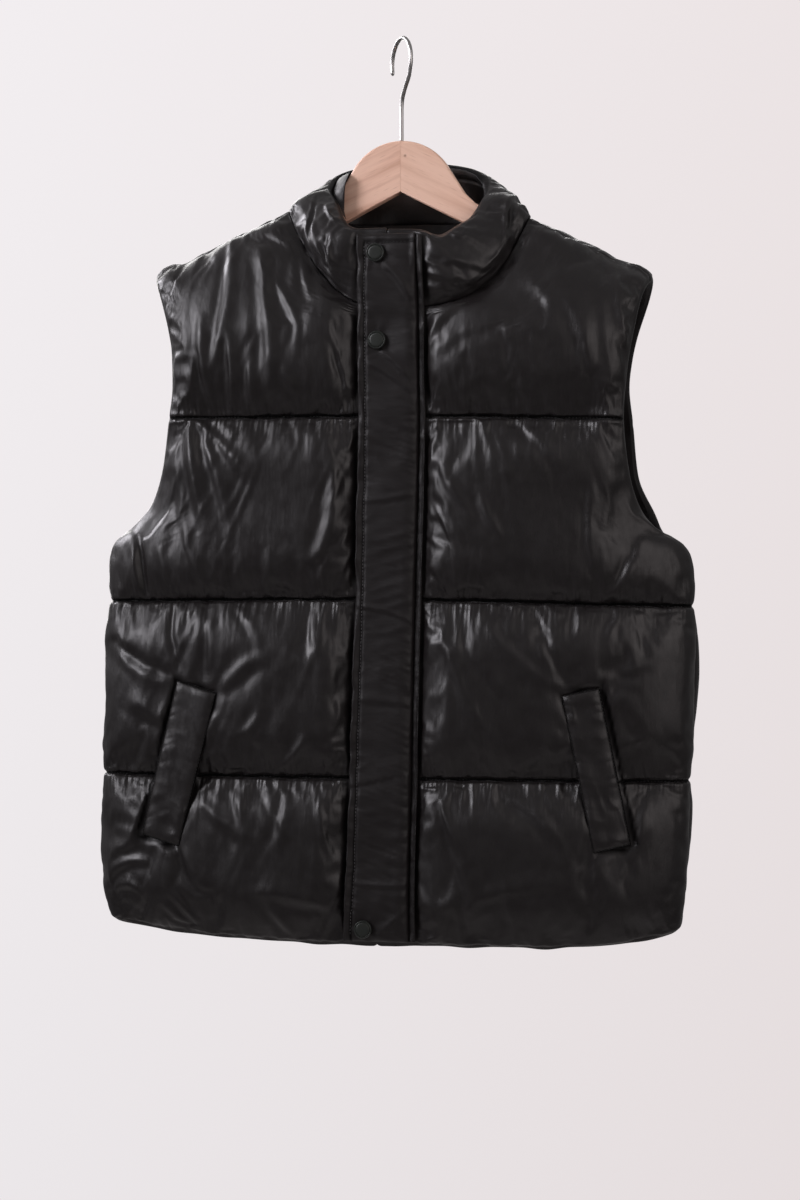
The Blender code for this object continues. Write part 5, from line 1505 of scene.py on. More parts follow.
def collar_half(side):
    """Inner grid, way of the wall and its thickness; rows go up, columns from front to nape."""
    tail = "_r" if side == "right" else "_l"
    top_rows = rows(COLLAR_COLUMNS, COLLAR_TOP)
    knots = [row["angle"] for row in top_rows]
    angles = np.linspace(0.0, 180.0, COLLAR_GRID["columns"] + 1)
    top = smooth_points(angles, knots, [(r["x" + tail], r["y"], r["z" + tail]) for r in top_rows])
    puff = smooth_column(angles, knots, [row["puff" + tail] for row in top_rows])
    foot = neck_ring(side, angles)
    climb = unit(top - foot)
    foot = foot + climb * COLLAR_LIFT
    turn = np.radians(angles)
    reference = np.stack([SIDE_SIGN[side] * np.sin(turn), -np.cos(turn), 0 * turn], -1)
    outward = unit(np.cross(climb, np.gradient(foot, axis=0)))
    outward *= np.where((outward * reference).sum(axis=-1, keepdims=True) < 0, -1.0, 1.0)
    share = eased(COLLAR_GRID["rows"], 0.5)[:, None, None]
    bulge = COLLAR_BULGE * 4 * share * (1 - share) * np.sin(turn)[None, :, None]
    inner = foot[None] + (top - foot)[None] * share + outward[None] * bulge
    height = np.linalg.norm(top - foot, axis=-1)[None, :]
    up = share[..., 0] * height
    near_rim = (1 - COLLAR_RIM_FULLNESS) * swell(height - up, COLLAR_TOP_REACH)
    fullness = swell(up, COLLAR_FOOT_REACH) * (COLLAR_RIM_FULLNESS + near_rim)
    from_placket = np.maximum(abs(foot[:, 0] - NECK_CENTRE_X) - PLACKET_ZONE[side], 0.0)
    from_placket = np.where(angles > 90, 1.0, from_placket)
    fullness = fullness * swell(from_placket, COLLAR_FRONT_REACH)[None, :]
    floor = WALL_AT_SEAM + (COLLAR_RIM_WALL - WALL_AT_SEAM) * share[..., 0] ** 2
    shoulder_share = np.sin(turn)[None, :] ** 4 * (1 - share[..., 0]) ** 2
    floor = floor + (SHOULDER_WALL[side] - WALL_AT_SEAM) * shoulder_share
    thickness = floor + (puff[None, :] - floor) * fullness
    lean = smoothstep(up / COLLAR_LEAN)[..., None]
    way = unit(neck_direction(side, angles)[None] * (1 - lean) + outward[None] * lean)
    held = np.zeros(inner.shape[:2])
    held[0] = held[-1] = 1
    held[:, from_placket <= 0] = 1
    s = along(foot[None], 1)
    s_all = s + 0 * up
    seed = COLLAR_SEEDS[side]
    crease = gathers(s, up, COLLAR_FOOT_GATHERS, seed)
    crease = crease + gathers(s, height - up, COLLAR_RIM_GATHERS, seed + 5)
    crease = crease + lumps(s_all, up, COLLAR_LUMPS, seed + 9)
    beside = np.broadcast_to(from_placket[None, :], up.shape)
    crease = crease + gathers(up, beside, COLLAR_FRONT_GATHERS, seed + 13)
    crease = crease + streaks(s_all, up, COLLAR_STREAKS, seed + 15, SIDE_SIGN[side])
    in_front = smoothstep((FOLDS_END_Y - inner[..., 1]) / FOLDS_FADE)
    crease = crease + fold_heights("collar", inner[..., 0], inner[..., 2]) * in_front
    thickness = thickness + crease * np.clip(fullness * 3.0, 0, 1)
    climbs = np.broadcast_to(climb[None], inner.shape)
    turns = np.broadcast_to(angles[None, :], up.shape)
    return {"inner": inner, "way": way, "thickness": thickness, "held": held, "climb": climbs,
            "turns": turns, "height": height, "up": up,
            "outward": np.broadcast_to(outward[None], inner.shape)}


def collar_grids():
    """The right half from the front round to the nape, then the left half back to the front."""
    right, left = collar_half("right"), collar_half("left")
    right["inner"][:, 0, 0] -= SEAM_GAP
    left["inner"][:, 0, 0] += SEAM_GAP
    return {key: np.concatenate([right[key], left[key][:, -2::-1]], axis=1) for key in right}


def make_collar():
    """The collar's shell, then its lining and the bag of lining at the rim."""
    part = collar_grids()
    high, wide = part["inner"].shape[:2]
    outer = part["inner"] + part["way"] * part["thickness"][..., None]
    points = outer.reshape(-1, 3)
    way = part["way"].reshape(-1, 3)
    faces = faced_along(points, grid_faces(high, wide), way)
    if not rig.quick():
        points = blow_up(points, faces, part["held"].ravel(), way, rise=0.004)
    place = grid_loop(high, wide)
    loop = point_numbers(place, wide)
    bulge = np.where((place[:, 0] == high - 1)[:, None],
                     part["climb"][place[:, 0], place[:, 1]], 0.0) * RIM_BULGE
    points, faces = close_rim(points, faces, loop, part["inner"].reshape(-1, 3)[loop], bulge)
    piece = add_piece("collar_shell", points, faces, SHELL)
    # painted shade along the collar's foot seam and round its rim
    mark(piece, "seam", 0.8 * bell(part["up"], 0.0010), 0.55)
    subdivide(piece)
    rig.padded(piece, fill=0.6)
    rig.replaces(piece, "collar")
    make_collar_lining(part)
    make_lining_bag(part)
    return piece


def make_collar_lining(part):
    """The collar's inside: stitched below the rim, gathered there and wavy at the back."""
    high, wide = part["inner"].shape[:2]
    s = along(part["inner"][-1:], 1)
    below = part["height"] - part["up"]
    from_stitching = below - FACING_STITCH_INSET
    puff = FACING_PUFF * swell(part["up"], 0.02) * swell(below, FACING_RIM)
    puff = puff - FACING_GROOVE * bell(from_stitching, 0.002)
    puff = puff + gathers(s, abs(from_stitching), FACING_GATHERS, 690)
    puff = puff + lumps(s + 0 * below, below, FACING_LUMPS, 694) * swell(below, FACING_RIM)
    at_back = smoothstep((part["turns"] - 110) / 30)
    wave = FACING_WAVE * ripple(s + 0.3 * below, 0.015, 697)
    puff = puff + wave * at_back * swell(below, 0.015)
    points = part["inner"] - part["outward"] * puff[..., None]
    points[0] += part["outward"][0] * FACING_TUCK[0] - part["climb"][0] * FACING_TUCK[1]
    points = points.reshape(-1, 3)
    faces = faced_along(points, grid_faces(high, wide), -part["way"].reshape(-1, 3))
    lining = add_piece("collar_lining", points, faces, LINING)
    # painted shade in the stitching's groove and along the rim
    mark(lining, "seam", np.maximum(bell(from_stitching, 0.0009), bell(below, 0.0012)))
    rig.padded(lining, fill=0.4)


def make_lining_bag(part):
    """Half round of lining from the rim forward and inward to the bag's far edge, tucked behind it.

    A point's way across is half of 1 less the cosine, and its way forward the sine, of the angle
    round the section."""
    table = rows(LINING_BAG_COLUMNS, LINING_BAG)
    knots = [row["turn"] for row in table]
    along_rim, round_section = LINING_BAG_GRID
    turns = np.linspace(knots[0], knots[-1], along_rim)
    count = COLLAR_GRID["columns"] + 1
    rim = smooth_points(turns, part["turns"][-1, :count], part["inner"][-1, :count])
    edge = smooth_points(turns, knots, [(row["x"], row["y"], row["z"]) for row in table])
    around = np.radians(np.linspace(0.0, LINING_BAG_TUCK, round_section))[None, :, None]
    taper = np.sin(math.pi * np.linspace(0.02, 0.98, len(turns))) ** 0.5
    depth = (LINING_BAG_DEPTH * taper)[:, None, None]
    across = (1 - np.cos(around)) / 2
    place = rim[:, None] + (edge - rim)[:, None] * across
    crumple = streaks(place[..., 0], place[..., 2], LINING_BAG_STREAKS, 671)
    crumple = crumple + lumps(place[..., 0], place[..., 2], LINING_BAG_LUMPS, 673)
    forward = np.array(LINING_BAG_WAY)
    points = place + forward * (depth * np.sin(around) + (crumple * taper[:, None])[..., None])
    high, wide = points.shape[:2]
    way = np.broadcast_to(forward, points.shape).reshape(-1, 3)
    points = points.reshape(-1, 3)
    faces = faced_along(points, grid_faces(high, wide), way)
    bag = add_piece("collar_lining_bag", points, faces, STRIP)
    from_rim = np.linalg.norm(place - rim[:, None], axis=-1)
    # painted shade where the bag comes out from under the rim
    mark(bag, "seam", bell(from_rim, 0.0014))
    subdivide(bag)
    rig.padded(bag, fill=0.4)


# ---------------------------------------------------------------- pieces that lie on the panels
SEAT_ROWS = 60
SEAT_SPREAD = (0.004, 0.007)
PLACKET_GRID = (330, 44)      # points up the placket, and steps across it
STITCH_GROOVE = 0.0012
STITCH_GROOVE_WIDTH = 0.0013
TOPSTITCH_GATHERS = (0.0012, 0.0065, 0.006)
TOP_GATHERS = (0.0008, 0.0065, 0.006)
PLACKET_SEAM_GATHERS = (0.0015, 0.0075, 0.012)
PLACKET_FINE_STREAKS = (0.0009, 0.35, 0.0055, 3.6)
PLACKET_STREAKS = (0.0010, -0.25, 0.0110, 3.2)
PLACKET_LUMPS = (0.0010, 0.030)
STRIP_CREASE_EDGE = 0.004     # creases start within this far of a strip's edge
EDGING_GRID = (420, 9)
EDGING_THIN = 0.0012
WELT_STEPS = (30, 104)        # across and along
WELT_SIDE_GATHERS = (0.0012, 0.0075, 0.008)
WELT_END_GATHERS = (0.0009, 0.0060, 0.010)
WELT_LUMPS = (0.0010, 0.020)
WELT_STREAKS = (0.0014, 0.3, 0.0080, 2.0)
WELT_SEEDS = {"pocket_welt_right": 740, "pocket_welt_left": 760}
FORWARD = (0.0, -1.0, 0.0)
SNAP_TURNS = 48
SNAP_PRESS = 0.0004           # how far a cap is pressed into the placket


def tree_of(pieces):
    """One search tree over several finished pieces."""
    shape = bmesh.new()
    for piece in pieces:
        shape.from_mesh(piece.data)
    tree = BVHTree.FromBMesh(shape)
    shape.free()
    return tree


def front_depth(tree, x, z, spread=(0.0, 0.0)):
    """Foremost y of what the tree holds within the spread of each point."""
    depth = np.zeros(x.shape)
    steps = np.linspace(-1.0, 1.0, 3) if max(spread) > 0 else [0.0]
    offsets = [(dx * spread[0], dz * spread[1]) for dx in steps for dz in steps]
    for index in np.ndindex(x.shape):
        hits = [tree.ray_cast(Vector((x[index] + dx, -1.0, z[index] + dz)), Vector((0, 1, 0)))[0]
                for dx, dz in offsets]
        depth[index] = min([hit.y for hit in hits if hit is not None and hit.y < BEHIND_FRONTS_Y],
                           default=0.0)
    return depth


def refined(coarse, at_rows, at_columns, rows_to, columns_to):
    """Values of a coarse grid on a finer one, by the smooth cubic down the rows and then across."""
    down = smooth_points(rows_to, at_rows, coarse)
    return smooth_points(columns_to, at_columns, down.T).T


def seated_depth(tree, z, across, x_at, shares):
    """Depth of a strip laid on what the tree holds: read on a coarse grid and refined."""
    seat_z = np.linspace(z[0], z[-1], SEAT_ROWS)
    heights = np.clip(np.repeat(seat_z[:, None], len(shares), axis=1), *SEAT_HEIGHTS)
    depth = front_depth(tree, x_at(seat_z, shares), heights, SEAT_SPREAD) - SEAT_GAP
    return refined(depth, seat_z, shares, z, across)


def forwards(count):
    """The way to the front, once for each point."""
    return np.repeat(np.array([FORWARD]), count, axis=0)


def centre_x(z):
    """The front edge's x at a height."""
    body = rows(ROW_COLUMNS, BODY_ROWS)
    return smooth_column(np.clip(z, body[0]["mid_z"], body[-1]["mid_z"]),
                         [row["mid_z"] for row in body], [row["mid_x"] for row in body])


def placket_half_width(z):
    """Half the placket's width at a height."""
    table = rows(PLACKET_COLUMNS, PLACKET_ROWS)
    return smooth_column(z, [row["z"] for row in table], [row["half_width"] for row in table])


def snap_puckers(x, z):
    """Dents round the snaps, with folds that run from each snap and die out over 30 mm."""
    height = np.zeros(x.shape)
    for number, snap in enumerate(rows(SNAP_COLUMNS, SNAPS)):
        dx, dz = x - snap["x"], z - snap["z"]
        radius = np.hypot(dx, dz)
        turn = np.arctan2(dz, dx)
        spokes = np.sin(turn * 5 + number * 1.7) + 0.6 * np.sin(turn * 8 + number * 2.9 + 1.0)
        height -= 0.0020 * bell(radius, 0.013)
        height += 0.00065 * spokes * smoothstep((radius - 0.008) / 0.003) * np.exp(-radius / 0.014)
    return height


def make_placket(tree):
    """Padded strip on the centre edge: stitched near its free edge and top, creased across."""
    table = rows(PLACKET_COLUMNS, PLACKET_ROWS)
    high, wide = PLACKET_GRID
    z = np.linspace(table[0]["z"], table[-1]["z"], high)
    half = placket_half_width(z)
    puff = smooth_column(z, [row["z"] for row in table], [row["puff"] for row in table])
    across = 2 * eased(wide, 0.5) - 1
    edge = 0.0006 * ripple(z, 0.016, 701) + 0.0003 * ripple(z, 0.0055, 703)

    def x_at(z, shares):
        """The placket's x at a height and a share of its half width."""
        return centre_x(z)[:, None] + placket_half_width(z)[:, None] * shares

    x = x_at(z, across[None, :]) - edge[:, None] * smoothstep(-across)[None, :]
    zz = np.repeat(z[:, None], len(across), axis=1)
    depth = seated_depth(tree, z, across, x_at, np.linspace(-1, 1, 9))

    from_free = (across + 1)[None, :] * half[:, None]
    from_sewn = (1 - across)[None, :] * half[:, None]
    body = swell(np.minimum(from_free, from_sewn), PLACKET_PUFF_REACH)
    ends = swell(np.minimum(zz - z[0], z[-1] - zz), PLACKET_PUFF_REACH)
    thickness = PLACKET_EDGE_WALL + (puff[:, None] - PLACKET_EDGE_WALL) * body * ends
    from_side_row = from_free - TOPSTITCH_INSET
    from_top_row = z[-1] - zz - TOPSTITCH_INSET
    stitch_x = bell(from_side_row, STITCH_GROOVE_WIDTH) * (z[-1] - zz > TOPSTITCH_INSET - 0.001)
    stitch_z = bell(from_top_row, STITCH_GROOVE_WIDTH) * (from_free > TOPSTITCH_INSET - 0.001)
    thickness = thickness - STITCH_GROOVE * np.maximum(stitch_x, stitch_z)
    crease = gathers(zz, abs(from_side_row), TOPSTITCH_GATHERS, 702)
    crease += gathers(zz + 0.3 * x, from_sewn, PLACKET_SEAM_GATHERS, 704)
    crease += gathers(x, abs(from_top_row), TOP_GATHERS, 706)
    crease += streaks(zz, x, PLACKET_FINE_STREAKS, 708)
    crease += streaks(zz, x, PLACKET_STREAKS, 712)
    crease += lumps(x, zz, PLACKET_LUMPS, 707) + snap_puckers(x, zz)
    crease += fold_heights("placket", x, zz)
    thickness = thickness + crease * swell(np.minimum(from_free, from_sewn), STRIP_CREASE_EDGE)
    inner = np.stack([x, depth, zz], -1)
    outer = np.stack([x, depth - thickness, zz], -1)
    piece = padded_patch("placket_shell", inner, outer, STRIP, PLACKET_RIM_BULGE)
    # painted shade in the topstitching's groove and round the rim
    mark(piece, "seam", 0.75 * np.maximum(stitch_x, stitch_z), RIM_PAINTED_SHADE)
    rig.padded(piece, fill=0.35)
    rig.replaces(piece, "placket")
    column = np.argmin(abs(from_side_row), axis=1)
    row = int(np.argmin(abs(z[-1] - z - TOPSTITCH_INSET)))
    down = outer[np.arange(high), column][3:row]
    top = outer[row, column[row]:-2]
    stitches("topstitch_side", down, forwards(len(down)), PALE_THREAD)
    stitches("topstitch_top", top, forwards(len(top)), QUILT_THREAD)
    return piece


def make_edging(tree):
    """The narrow puckered strip along the placket's sewn side."""
    high, wide = EDGING_GRID
    z = np.linspace(PLACKET_ROWS[0][0], EDGING_TOP_Z, high)
    across = np.linspace(0.0, 1.0, wide)

    def x_at(z, shares):
        """The edging's x at a height and a share of its width."""
        start = centre_x(z) + placket_half_width(z) + SEAM_GAP
        return start[:, None] + EDGING_WIDTH * shares

    x = x_at(z, across[None, :])
    zz = np.repeat(z[:, None], wide, axis=1)
    depth = seated_depth(tree, z, across, x_at, np.array([0.0, 0.5, 1.0]))
    body = np.sin(math.pi * np.clip(across, 0.02, 0.98))[None, :] ** 0.6
    pucker = 0.0004 * ripple(zz + 0.5 * x, 0.0048, 721) + 0.0004 * ripple(zz - x, 0.013, 722)
    thickness = EDGING_THIN + (EDGING_WALL - EDGING_THIN + pucker) * body
    inner = np.stack([x, depth, zz], -1)
    outer = np.stack([x, depth - thickness, zz], -1)
    piece = padded_patch("placket_edging_shell", inner, outer, STRIP, EDGING_RIM_BULGE)
    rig.padded(piece, fill=0.3)
    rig.replaces(piece, "placket_edging")
    stitches("edging_stitch", outer[:, -2], forwards(high), QUILT_THREAD)
    return piece


def make_welt(welt, tree):
    """A padded four-cornered strip, its back laid on the front, stitched inside its edges."""
    u = eased(WELT_STEPS[0], 0.5)
    v = eased(WELT_STEPS[1], 0.3)
    top_in, top_out, low_out, low_in = [np.array(welt[key]) for key in WELT_COLUMNS[1:]]

    def flat(u, v):
        """Points of the strip in front view, at shares across and up it."""
        top = top_in + (top_out - top_in) * u[:, None]
        low = low_in + (low_out - low_in) * u[:, None]
        return low[None] + (top - low)[None] * v[:, None, None]

    seat_u, seat_v = np.linspace(0.15, 0.85, 5), np.linspace(0.06, 0.94, 16)
    seat = flat(seat_u, seat_v)
    depth = front_depth(tree, seat[..., 0], seat[..., 1]) - SEAT_GAP
    bow = np.polyfit(seat_u, depth.T, 2)
    bow = np.array([np.polyval(np.polyfit(seat_v, row, 4), v) for row in bow])
    depth = bow[0][:, None] * u ** 2 + bow[1][:, None] * u + bow[2][:, None]
    place = flat(u, v)
    x, z = place[..., 0], place[..., 1]
    across = np.minimum(u, 1 - u)[None, :] * np.linalg.norm(top_in - top_out)
    ends = np.minimum(v, 1 - v)[:, None] * np.linalg.norm(top_in - low_in)
    full = swell(across, WELT_PUFF_REACH) * swell(ends, WELT_PUFF_REACH)
    thickness = WELT_EDGE_WALL + (WELT_WALL - WELT_EDGE_WALL) * full
    from_edge = np.minimum(across, ends)
    seed = WELT_SEEDS[welt["name"]]
    crease = gathers(z, across + 0 * x, WELT_SIDE_GATHERS, seed)
    crease += gathers(x, ends + 0 * x, WELT_END_GATHERS, seed + 2)
    crease += lumps(x, z, WELT_LUMPS, seed + 3)
    crease += streaks(x, z, WELT_STREAKS, seed + 4)
    thickness = thickness + crease * swell(from_edge, STRIP_CREASE_EDGE)
    inner = np.stack([x, depth, z], -1)
    outer = np.stack([x, depth - thickness, z], -1)
    piece = padded_patch(f"{welt['name']}_shell", inner, outer, SHELL, WELT_RIM_BULGE)
    # painted shade along the stitched edges and round the rim
    mark(piece, "seam", 0.8 * bell(from_edge, 0.0012), RIM_PAINTED_SHADE)
    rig.padded(piece, fill=0.35)
    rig.replaces(piece, welt["name"])
    i, j = grid_loop(len(v), len(u)).T
    path = outer[np.clip(i, 1, len(v) - 2), np.clip(j, 1, len(u) - 2)]
    stitches(f"{welt['name']}_stitch", path, forwards(len(path)), QUILT_THREAD)
    return piece


def make_snap(snap, tree):
    """Round cap turned about the Y axis: rolled edge, a groove and a flat crown."""
    turns = np.linspace(0, 2 * math.pi, SNAP_TURNS, endpoint=False)
    ring_x = snap["x"] + SNAP_DIAMETER / 2 * np.cos(turns[::6])
    ring_z = snap["z"] + SNAP_DIAMETER / 2 * np.sin(turns[::6])
    seat = front_depth(tree, ring_x, ring_z).min() - SEAT_GAP + SNAP_PRESS
    radii = np.array([share for share, height in SNAP_PROFILE]) * SNAP_DIAMETER / 2
    rise = np.array([height for share, height in SNAP_PROFILE])
    points = np.stack([snap["x"] + radii[:, None] * np.cos(turns)[None],
                       seat - rise[:, None] + 0 * turns[None],
                       snap["z"] + radii[:, None] * np.sin(turns)[None]], -1).reshape(-1, 3)
    faces = tube_faces(len(radii), SNAP_TURNS) + tube_caps(len(radii), SNAP_TURNS)[1:]
    piece = add_piece(f"{snap['name']}_cap", points, faces, SNAP_PAINT, "snap_cap")
    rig.replaces(piece, snap["name"])
    return piece


# ---------------------------------------------------------------- hanger
def arc(centre, radius, start, end, count):
    """Points on an arc, its angles in degrees from straight up, clockwise."""
    turns = np.radians(np.linspace(start, end, count))
    return [(centre[0] + radius * math.sin(t), centre[1] + radius * math.cos(t)) for t in turns]


def hanger_outline(side):
    """One arm in front view at +X, from the top of the crown round to the mitre's lower end."""
    crown = arc((0.0, CROWN_TOP_Z - CROWN_RADIUS), CROWN_RADIUS, 0.0, CROWN_SWEEP, 28)
    down = math.radians(ARM_SLOPE[side])
    drop = math.tan(down)
    neck_x, neck_z = NECK_OF_ARM_X, NECK_OF_ARM_Z[side]
    end_z = neck_z - (ARM_END_X - neck_x) * drop
    way = np.array([math.cos(down), -math.sin(down)])
    under = np.array([-math.sin(down), -math.cos(down)])
    tip = np.array([ARM_END_X, end_z]) - way * ARM_END_RADIUS
    centre_high = tip + under * ARM_END_RADIUS
    centre_low = tip + under * (ARM_HEIGHT - ARM_END_RADIUS)
    turns = np.radians(np.linspace(0, 90, 10))
    high = [tuple(centre_high + ARM_END_RADIUS * (way * math.sin(t) - under * math.cos(t)))
            for t in turns]
    low = [tuple(centre_low + ARM_END_RADIUS * (way * math.cos(t) + under * math.sin(t)))
           for t in turns]
    straight = (ARM_STRAIGHT_X, neck_z - (ARM_STRAIGHT_X - neck_x) * drop)
    return crown + [ARM_SHOULDER, (neck_x, neck_z), straight] + high + low + [ARM_BELLY,
                                                                              (0.0, APEX_Z)]


def make_hanger_arm(side):
    """Half board: rings round the outline, drawn in by the rounded edge from face to face."""
    outline = np.array(hanger_outline(side))
    before, after = np.roll(outline, 1, axis=0), np.roll(outline, -1, axis=0)
    first, second = unit(outline - before), unit(after - outline)
    inward_a = np.stack([first[:, 1], -first[:, 0]], -1)
    inward_b = np.stack([second[:, 1], -second[:, 0]], -1)
    inward = unit(inward_a + inward_b)
    inward /= np.maximum((inward * inward_a).sum(axis=1, keepdims=True), 0.5)
    bevel = np.where(outline[:, 0] < 1e-6, MITRE_BEVEL, WOOD_BEVEL)[:, None]
    bend = np.radians(np.linspace(90, 0, 6))
    profile = [(1.25, -WOOD_THICKNESS / 2)]
    profile += [(1 - math.cos(t), -WOOD_THICKNESS / 2 + WOOD_BEVEL * (1 - math.sin(t)))
                for t in bend]
    profile += [(share, -y) for share, y in profile[::-1]]
    sign = SIDE_SIGN[side]
    rings = []
    for share, y in profile:
        flat = outline + inward * bevel * share
        rings.append(np.stack([sign * flat[:, 0], np.full(len(flat), y), flat[:, 1]], -1))
    points = np.concatenate(rings)
    faces = tube_faces(len(rings), len(outline)) + tube_caps(len(rings), len(outline))
    if sign < 0:
        faces = [face[::-1] for face in faces]
    piece = add_piece(f"hanger_arm_{side}", points, faces, BEECH[side], "hanger_beech")
    slope = math.radians(ARM_SLOPE[side])
    place = np.stack([abs(points[:, 0]) * math.cos(slope) - points[:, 2] * math.sin(slope),
                      points[:, 2] * math.cos(slope) + abs(points[:, 0]) * math.sin(slope)], -1)
    layer = piece.data.uv_layers.new(name="grain")
    corners = np.empty(len(piece.data.loops), int)
    piece.data.loops.foreach_get("vertex_index", corners)
    layer.data.foreach_set("uv", place[corners].ravel())
    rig.replaces(piece, "hanger_wood")
    return piece


def make_hook():
    """Wire: a ring of points along an arc over the rod and the curve in to the stem."""
    centre_z = WIRE_DIAMETER / 2 - HOOK_RADIUS
    turns = np.radians(np.linspace(HOOK_END_ANGLE, HOOK_START_ANGLE, 48))
    route = [(HOOK_RADIUS * math.cos(t), centre_z + HOOK_RADIUS * math.sin(t)) for t in turns]
    route += STEM_CURVE + [(0.0, CROWN_TOP_Z)]
    route = np.array(route)
    knots = np.concatenate([[0.0], np.cumsum(np.hypot(*np.diff(route, axis=0).T))])
    smooth = smooth_points(np.linspace(0.0, knots[-1], 130), knots, route)
    turn = math.radians(HOOK_TURN)
    line = np.stack([smooth[:, 0] * math.sin(turn), -smooth[:, 0] * math.cos(turn),
                     smooth[:, 1]], -1)
    forward = unit(np.gradient(line, axis=0))
    aside = np.array([math.cos(turn), math.sin(turn), 0.0])
    third = np.cross(forward, aside)
    around = np.linspace(0, 2 * math.pi, WIRE_SIDES, endpoint=False)
    radius = WIRE_DIAMETER / 2 * np.ones(len(line))
    radius[:len(WIRE_TIP)] *= WIRE_TIP
    circle = (aside[None, None] * np.cos(around)[None, :, None]
              + third[:, None] * np.sin(around)[None, :, None])
    points = (line[:, None] + radius[:, None, None] * circle).reshape(-1, 3)
    faces = tube_faces(len(line), WIRE_SIDES) + tube_caps(len(line), WIRE_SIDES)
    piece = add_piece("hook_wire", points, faces, STEEL, "hook_steel")
    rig.replaces(piece, "hanger_hook")
    return piece


# ---------------------------------------------------------------- the whole vest
body = []
for wearer_side in ("right", "left"):
    body.append(make_front(wearer_side))
    make_front_lining(wearer_side)
    make_hanger_arm(wearer_side)
make_back()
make_back_lining()
body.append(make_collar())
under = tree_of(body)
strips = [make_placket(under)]
make_edging(under)
for row in rows(WELT_COLUMNS, WELTS):
    make_welt(row, under)
over = tree_of(strips)
for row in rows(SNAP_COLUMNS, SNAPS):
    make_snap(row, over)
make_hook()


# ---------------------------------------------------------------- floor, light and camera
VIEW_AZIMUTH = 11.0           # degrees
VIEW_DISTANCE = 2.4
VIEW_HALF_HEIGHT = 0.576      # metres at the garment's centre plane
VIEW_CENTRE_Z = -0.5371
FRAME_WIDTH = 800             # pixels
FRAME_HEIGHT = 1200
AXIS_PIXEL_X = 401.5          # where the garment's own axis stands across the frame
FLOOR_HALF_SIZE = 1.5
FLOOR_Z = -2.0
ROOM_ABOVE = 0.30
ROOM_BELOW = 0.11
# painted light on the wall that only the camera sees: lighter at the left and at the top
WALL_LEFT = (0.865, 0.832, 0.850)
WALL_RIGHT = (0.812, 0.752, 0.758)
WALL_TOP = 1.03
WALL_FOOT = 0.96
LIGHT_COLUMNS = "name place aim size power spread colour".split()
LIGHTS = [
    ("window", (-2.1, -1.5, 0.75), (-0.10, 0.0, -0.10), (1.6, 1.6), 6.4, 40.0, (0.97, 0.94, 1.00)),
    ("side",   (-2.3, 0.9, 0.85), (-0.08, 0.0, -0.20), (1.0, 1.0), 2.6, 40.0, (0.97, 0.94, 1.00)),
    ("fill",   (2.2, -1.8, 0.30), (0.0, 0.0, -0.30), (2.3, 2.3), 10.4, 120.0, (1.00, 0.91, 0.90)),
    ("rear",   (-0.9, 2.6, 0.40), (0.0, 0.0, -0.45), (2.0, 2.0), 26.0, 120.0, (1.00, 0.98, 0.97)),
]


def stage_floor():
    """A pale floor well below the hem."""
    mesh = bpy.data.meshes.new("floor")
    size, z = FLOOR_HALF_SIZE, FLOOR_Z
    mesh.from_pydata([(-size, -size, z), (size, -size, z), (size, size, z), (-size, size, z)], [],
                     [(0, 1, 2, 3)])
    mesh.materials.append(plain("pale floor", (0.80, 0.77, 0.77), 0.8))
    floor = bpy.data.objects.new("floor", mesh)
    bpy.context.scene.collection.objects.link(floor)
    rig.stage(floor)


def area_light(name, place, aim, size, power, spread, colour):
    """A rectangular light that the camera doesn't see."""
    light = bpy.data.lights.new(name, "AREA")
    light.shape = "RECTANGLE"
    light.size, light.size_y = size
    light.energy = power
    light.spread = math.radians(spread)
    light.color = colour
    lamp = bpy.data.objects.new(name, light)
    bpy.context.scene.collection.objects.link(lamp)
    lamp.visible_camera = False
    lamp.location = place
    lamp.rotation_euler = (Vector(aim) - Vector(place)).to_track_quat("-Z", "Y").to_euler()
    return lamp


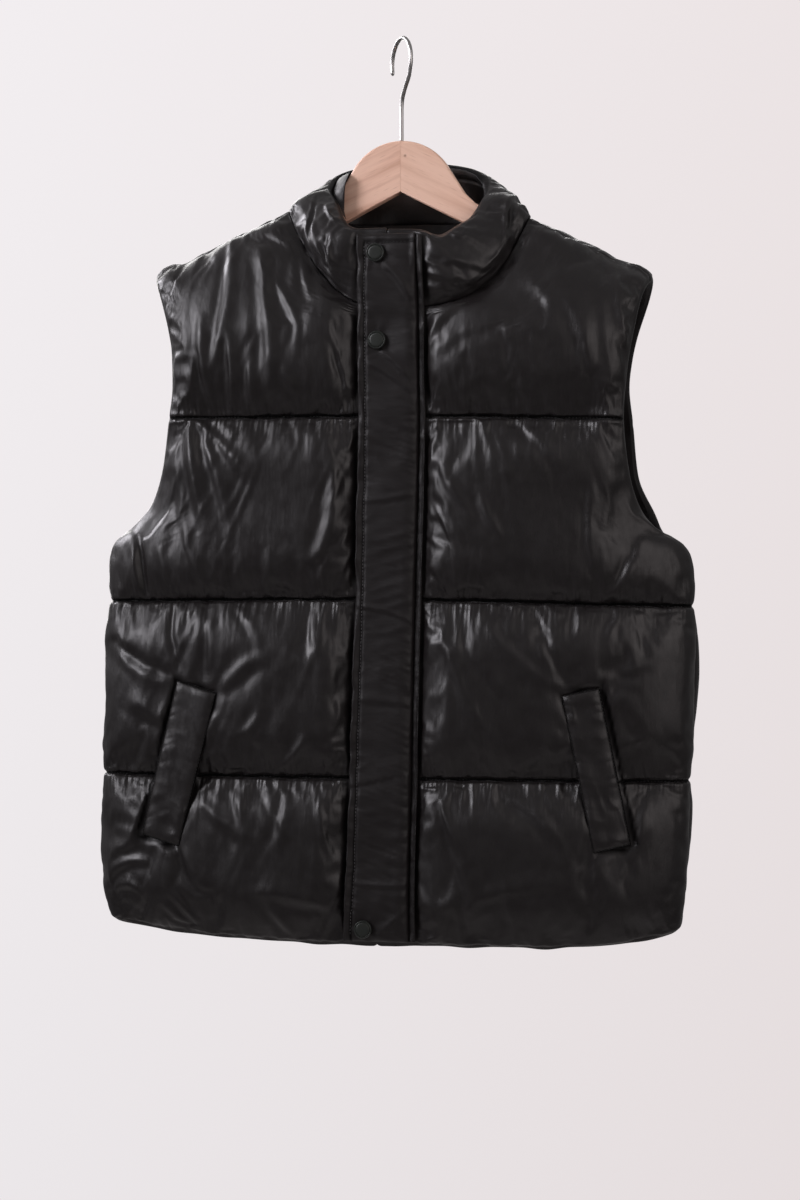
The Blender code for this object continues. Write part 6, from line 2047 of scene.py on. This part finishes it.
def studio():
    """Pale wall behind that only the camera sees, with painted light: lighter at the left and the top;
    a dim room that is lighter above, a window and a side light from the left, a weak warm fill from
    the right and a light from behind."""
    world = bpy.data.worlds.new("studio")
    bpy.context.scene.world = world
    bpy.context.scene.view_settings.view_transform = "Standard"
    world.use_nodes = True
    nodes, links = world.node_tree.nodes, world.node_tree.links
    way = nodes.new("ShaderNodeTexCoord").outputs["Generated"]

    def part_along(axis):
        """How far the view's direction goes along an axis."""
        made = nodes.new("ShaderNodeVectorMath")
        made.operation = "DOT_PRODUCT"
        made.inputs[1].default_value = axis
        links.new(way, made.inputs[0])
        return made.outputs["Value"]

    turn = math.radians(VIEW_AZIMUTH)
    across = part_along((math.cos(turn), math.sin(turn), 0.0))
    up = part_along((0.0, 0.0, 1.0))
    room = nodes["Background"]
    room.inputs["Color"].default_value = (1.0, 0.97, 0.98, 1.0)
    links.new(ranged(nodes, links, up, -0.4, 0.6, ROOM_BELOW, ROOM_ABOVE), room.inputs["Strength"])
    # painted light: the wall is lighter to the left and towards the top
    to_right = ranged(nodes, links, across, -0.16, 0.16, 0.0, 1.0)
    wall = nodes.new("ShaderNodeBackground")
    links.new(mixed(nodes, links, to_right, WALL_LEFT, WALL_RIGHT), wall.inputs["Color"])
    links.new(ranged(nodes, links, up, -0.24, 0.24, WALL_FOOT, WALL_TOP), wall.inputs["Strength"])
    seen = nodes.new("ShaderNodeLightPath")
    mix = nodes.new("ShaderNodeMixShader")
    links.new(seen.outputs["Is Camera Ray"], mix.inputs[0])
    links.new(room.outputs[0], mix.inputs[1])
    links.new(wall.outputs[0], mix.inputs[2])
    links.new(mix.outputs[0], nodes["World Output"].inputs["Surface"])
    for light in rows(LIGHT_COLUMNS, LIGHTS):
        area_light(**light)


def camera():
    """The camera, level, in front of the garment and a little to the viewer's right of it."""
    turn = math.radians(VIEW_AZIMUTH)
    back = Vector((math.sin(turn), -math.cos(turn), 0.0))
    data = bpy.data.cameras.new("camera")
    data.sensor_fit = "VERTICAL"
    data.angle_y = 2 * math.atan(VIEW_HALF_HEIGHT / VIEW_DISTANCE)
    data.dof.use_dof = False
    lens = bpy.data.objects.new("camera", data)
    bpy.context.scene.collection.objects.link(lens)
    across = Vector((math.cos(turn), math.sin(turn), 0.0))
    aside = (FRAME_WIDTH / 2 - AXIS_PIXEL_X) * VIEW_HALF_HEIGHT / (FRAME_HEIGHT / 2)
    aim = Vector((0.0, 0.0, VIEW_CENTRE_Z)) + across * aside
    lens.location = aim + back * VIEW_DISTANCE
    lens.rotation_euler = (-back).to_track_quat("-Z", "Y").to_euler()
    bpy.context.scene.camera = lens


stage_floor()
studio()
camera()
json.dump({"cad": CAD_BOX, "visual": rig.bounds()}, open("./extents.json", "w"),
          default=lambda value: [float(v) for v in value])
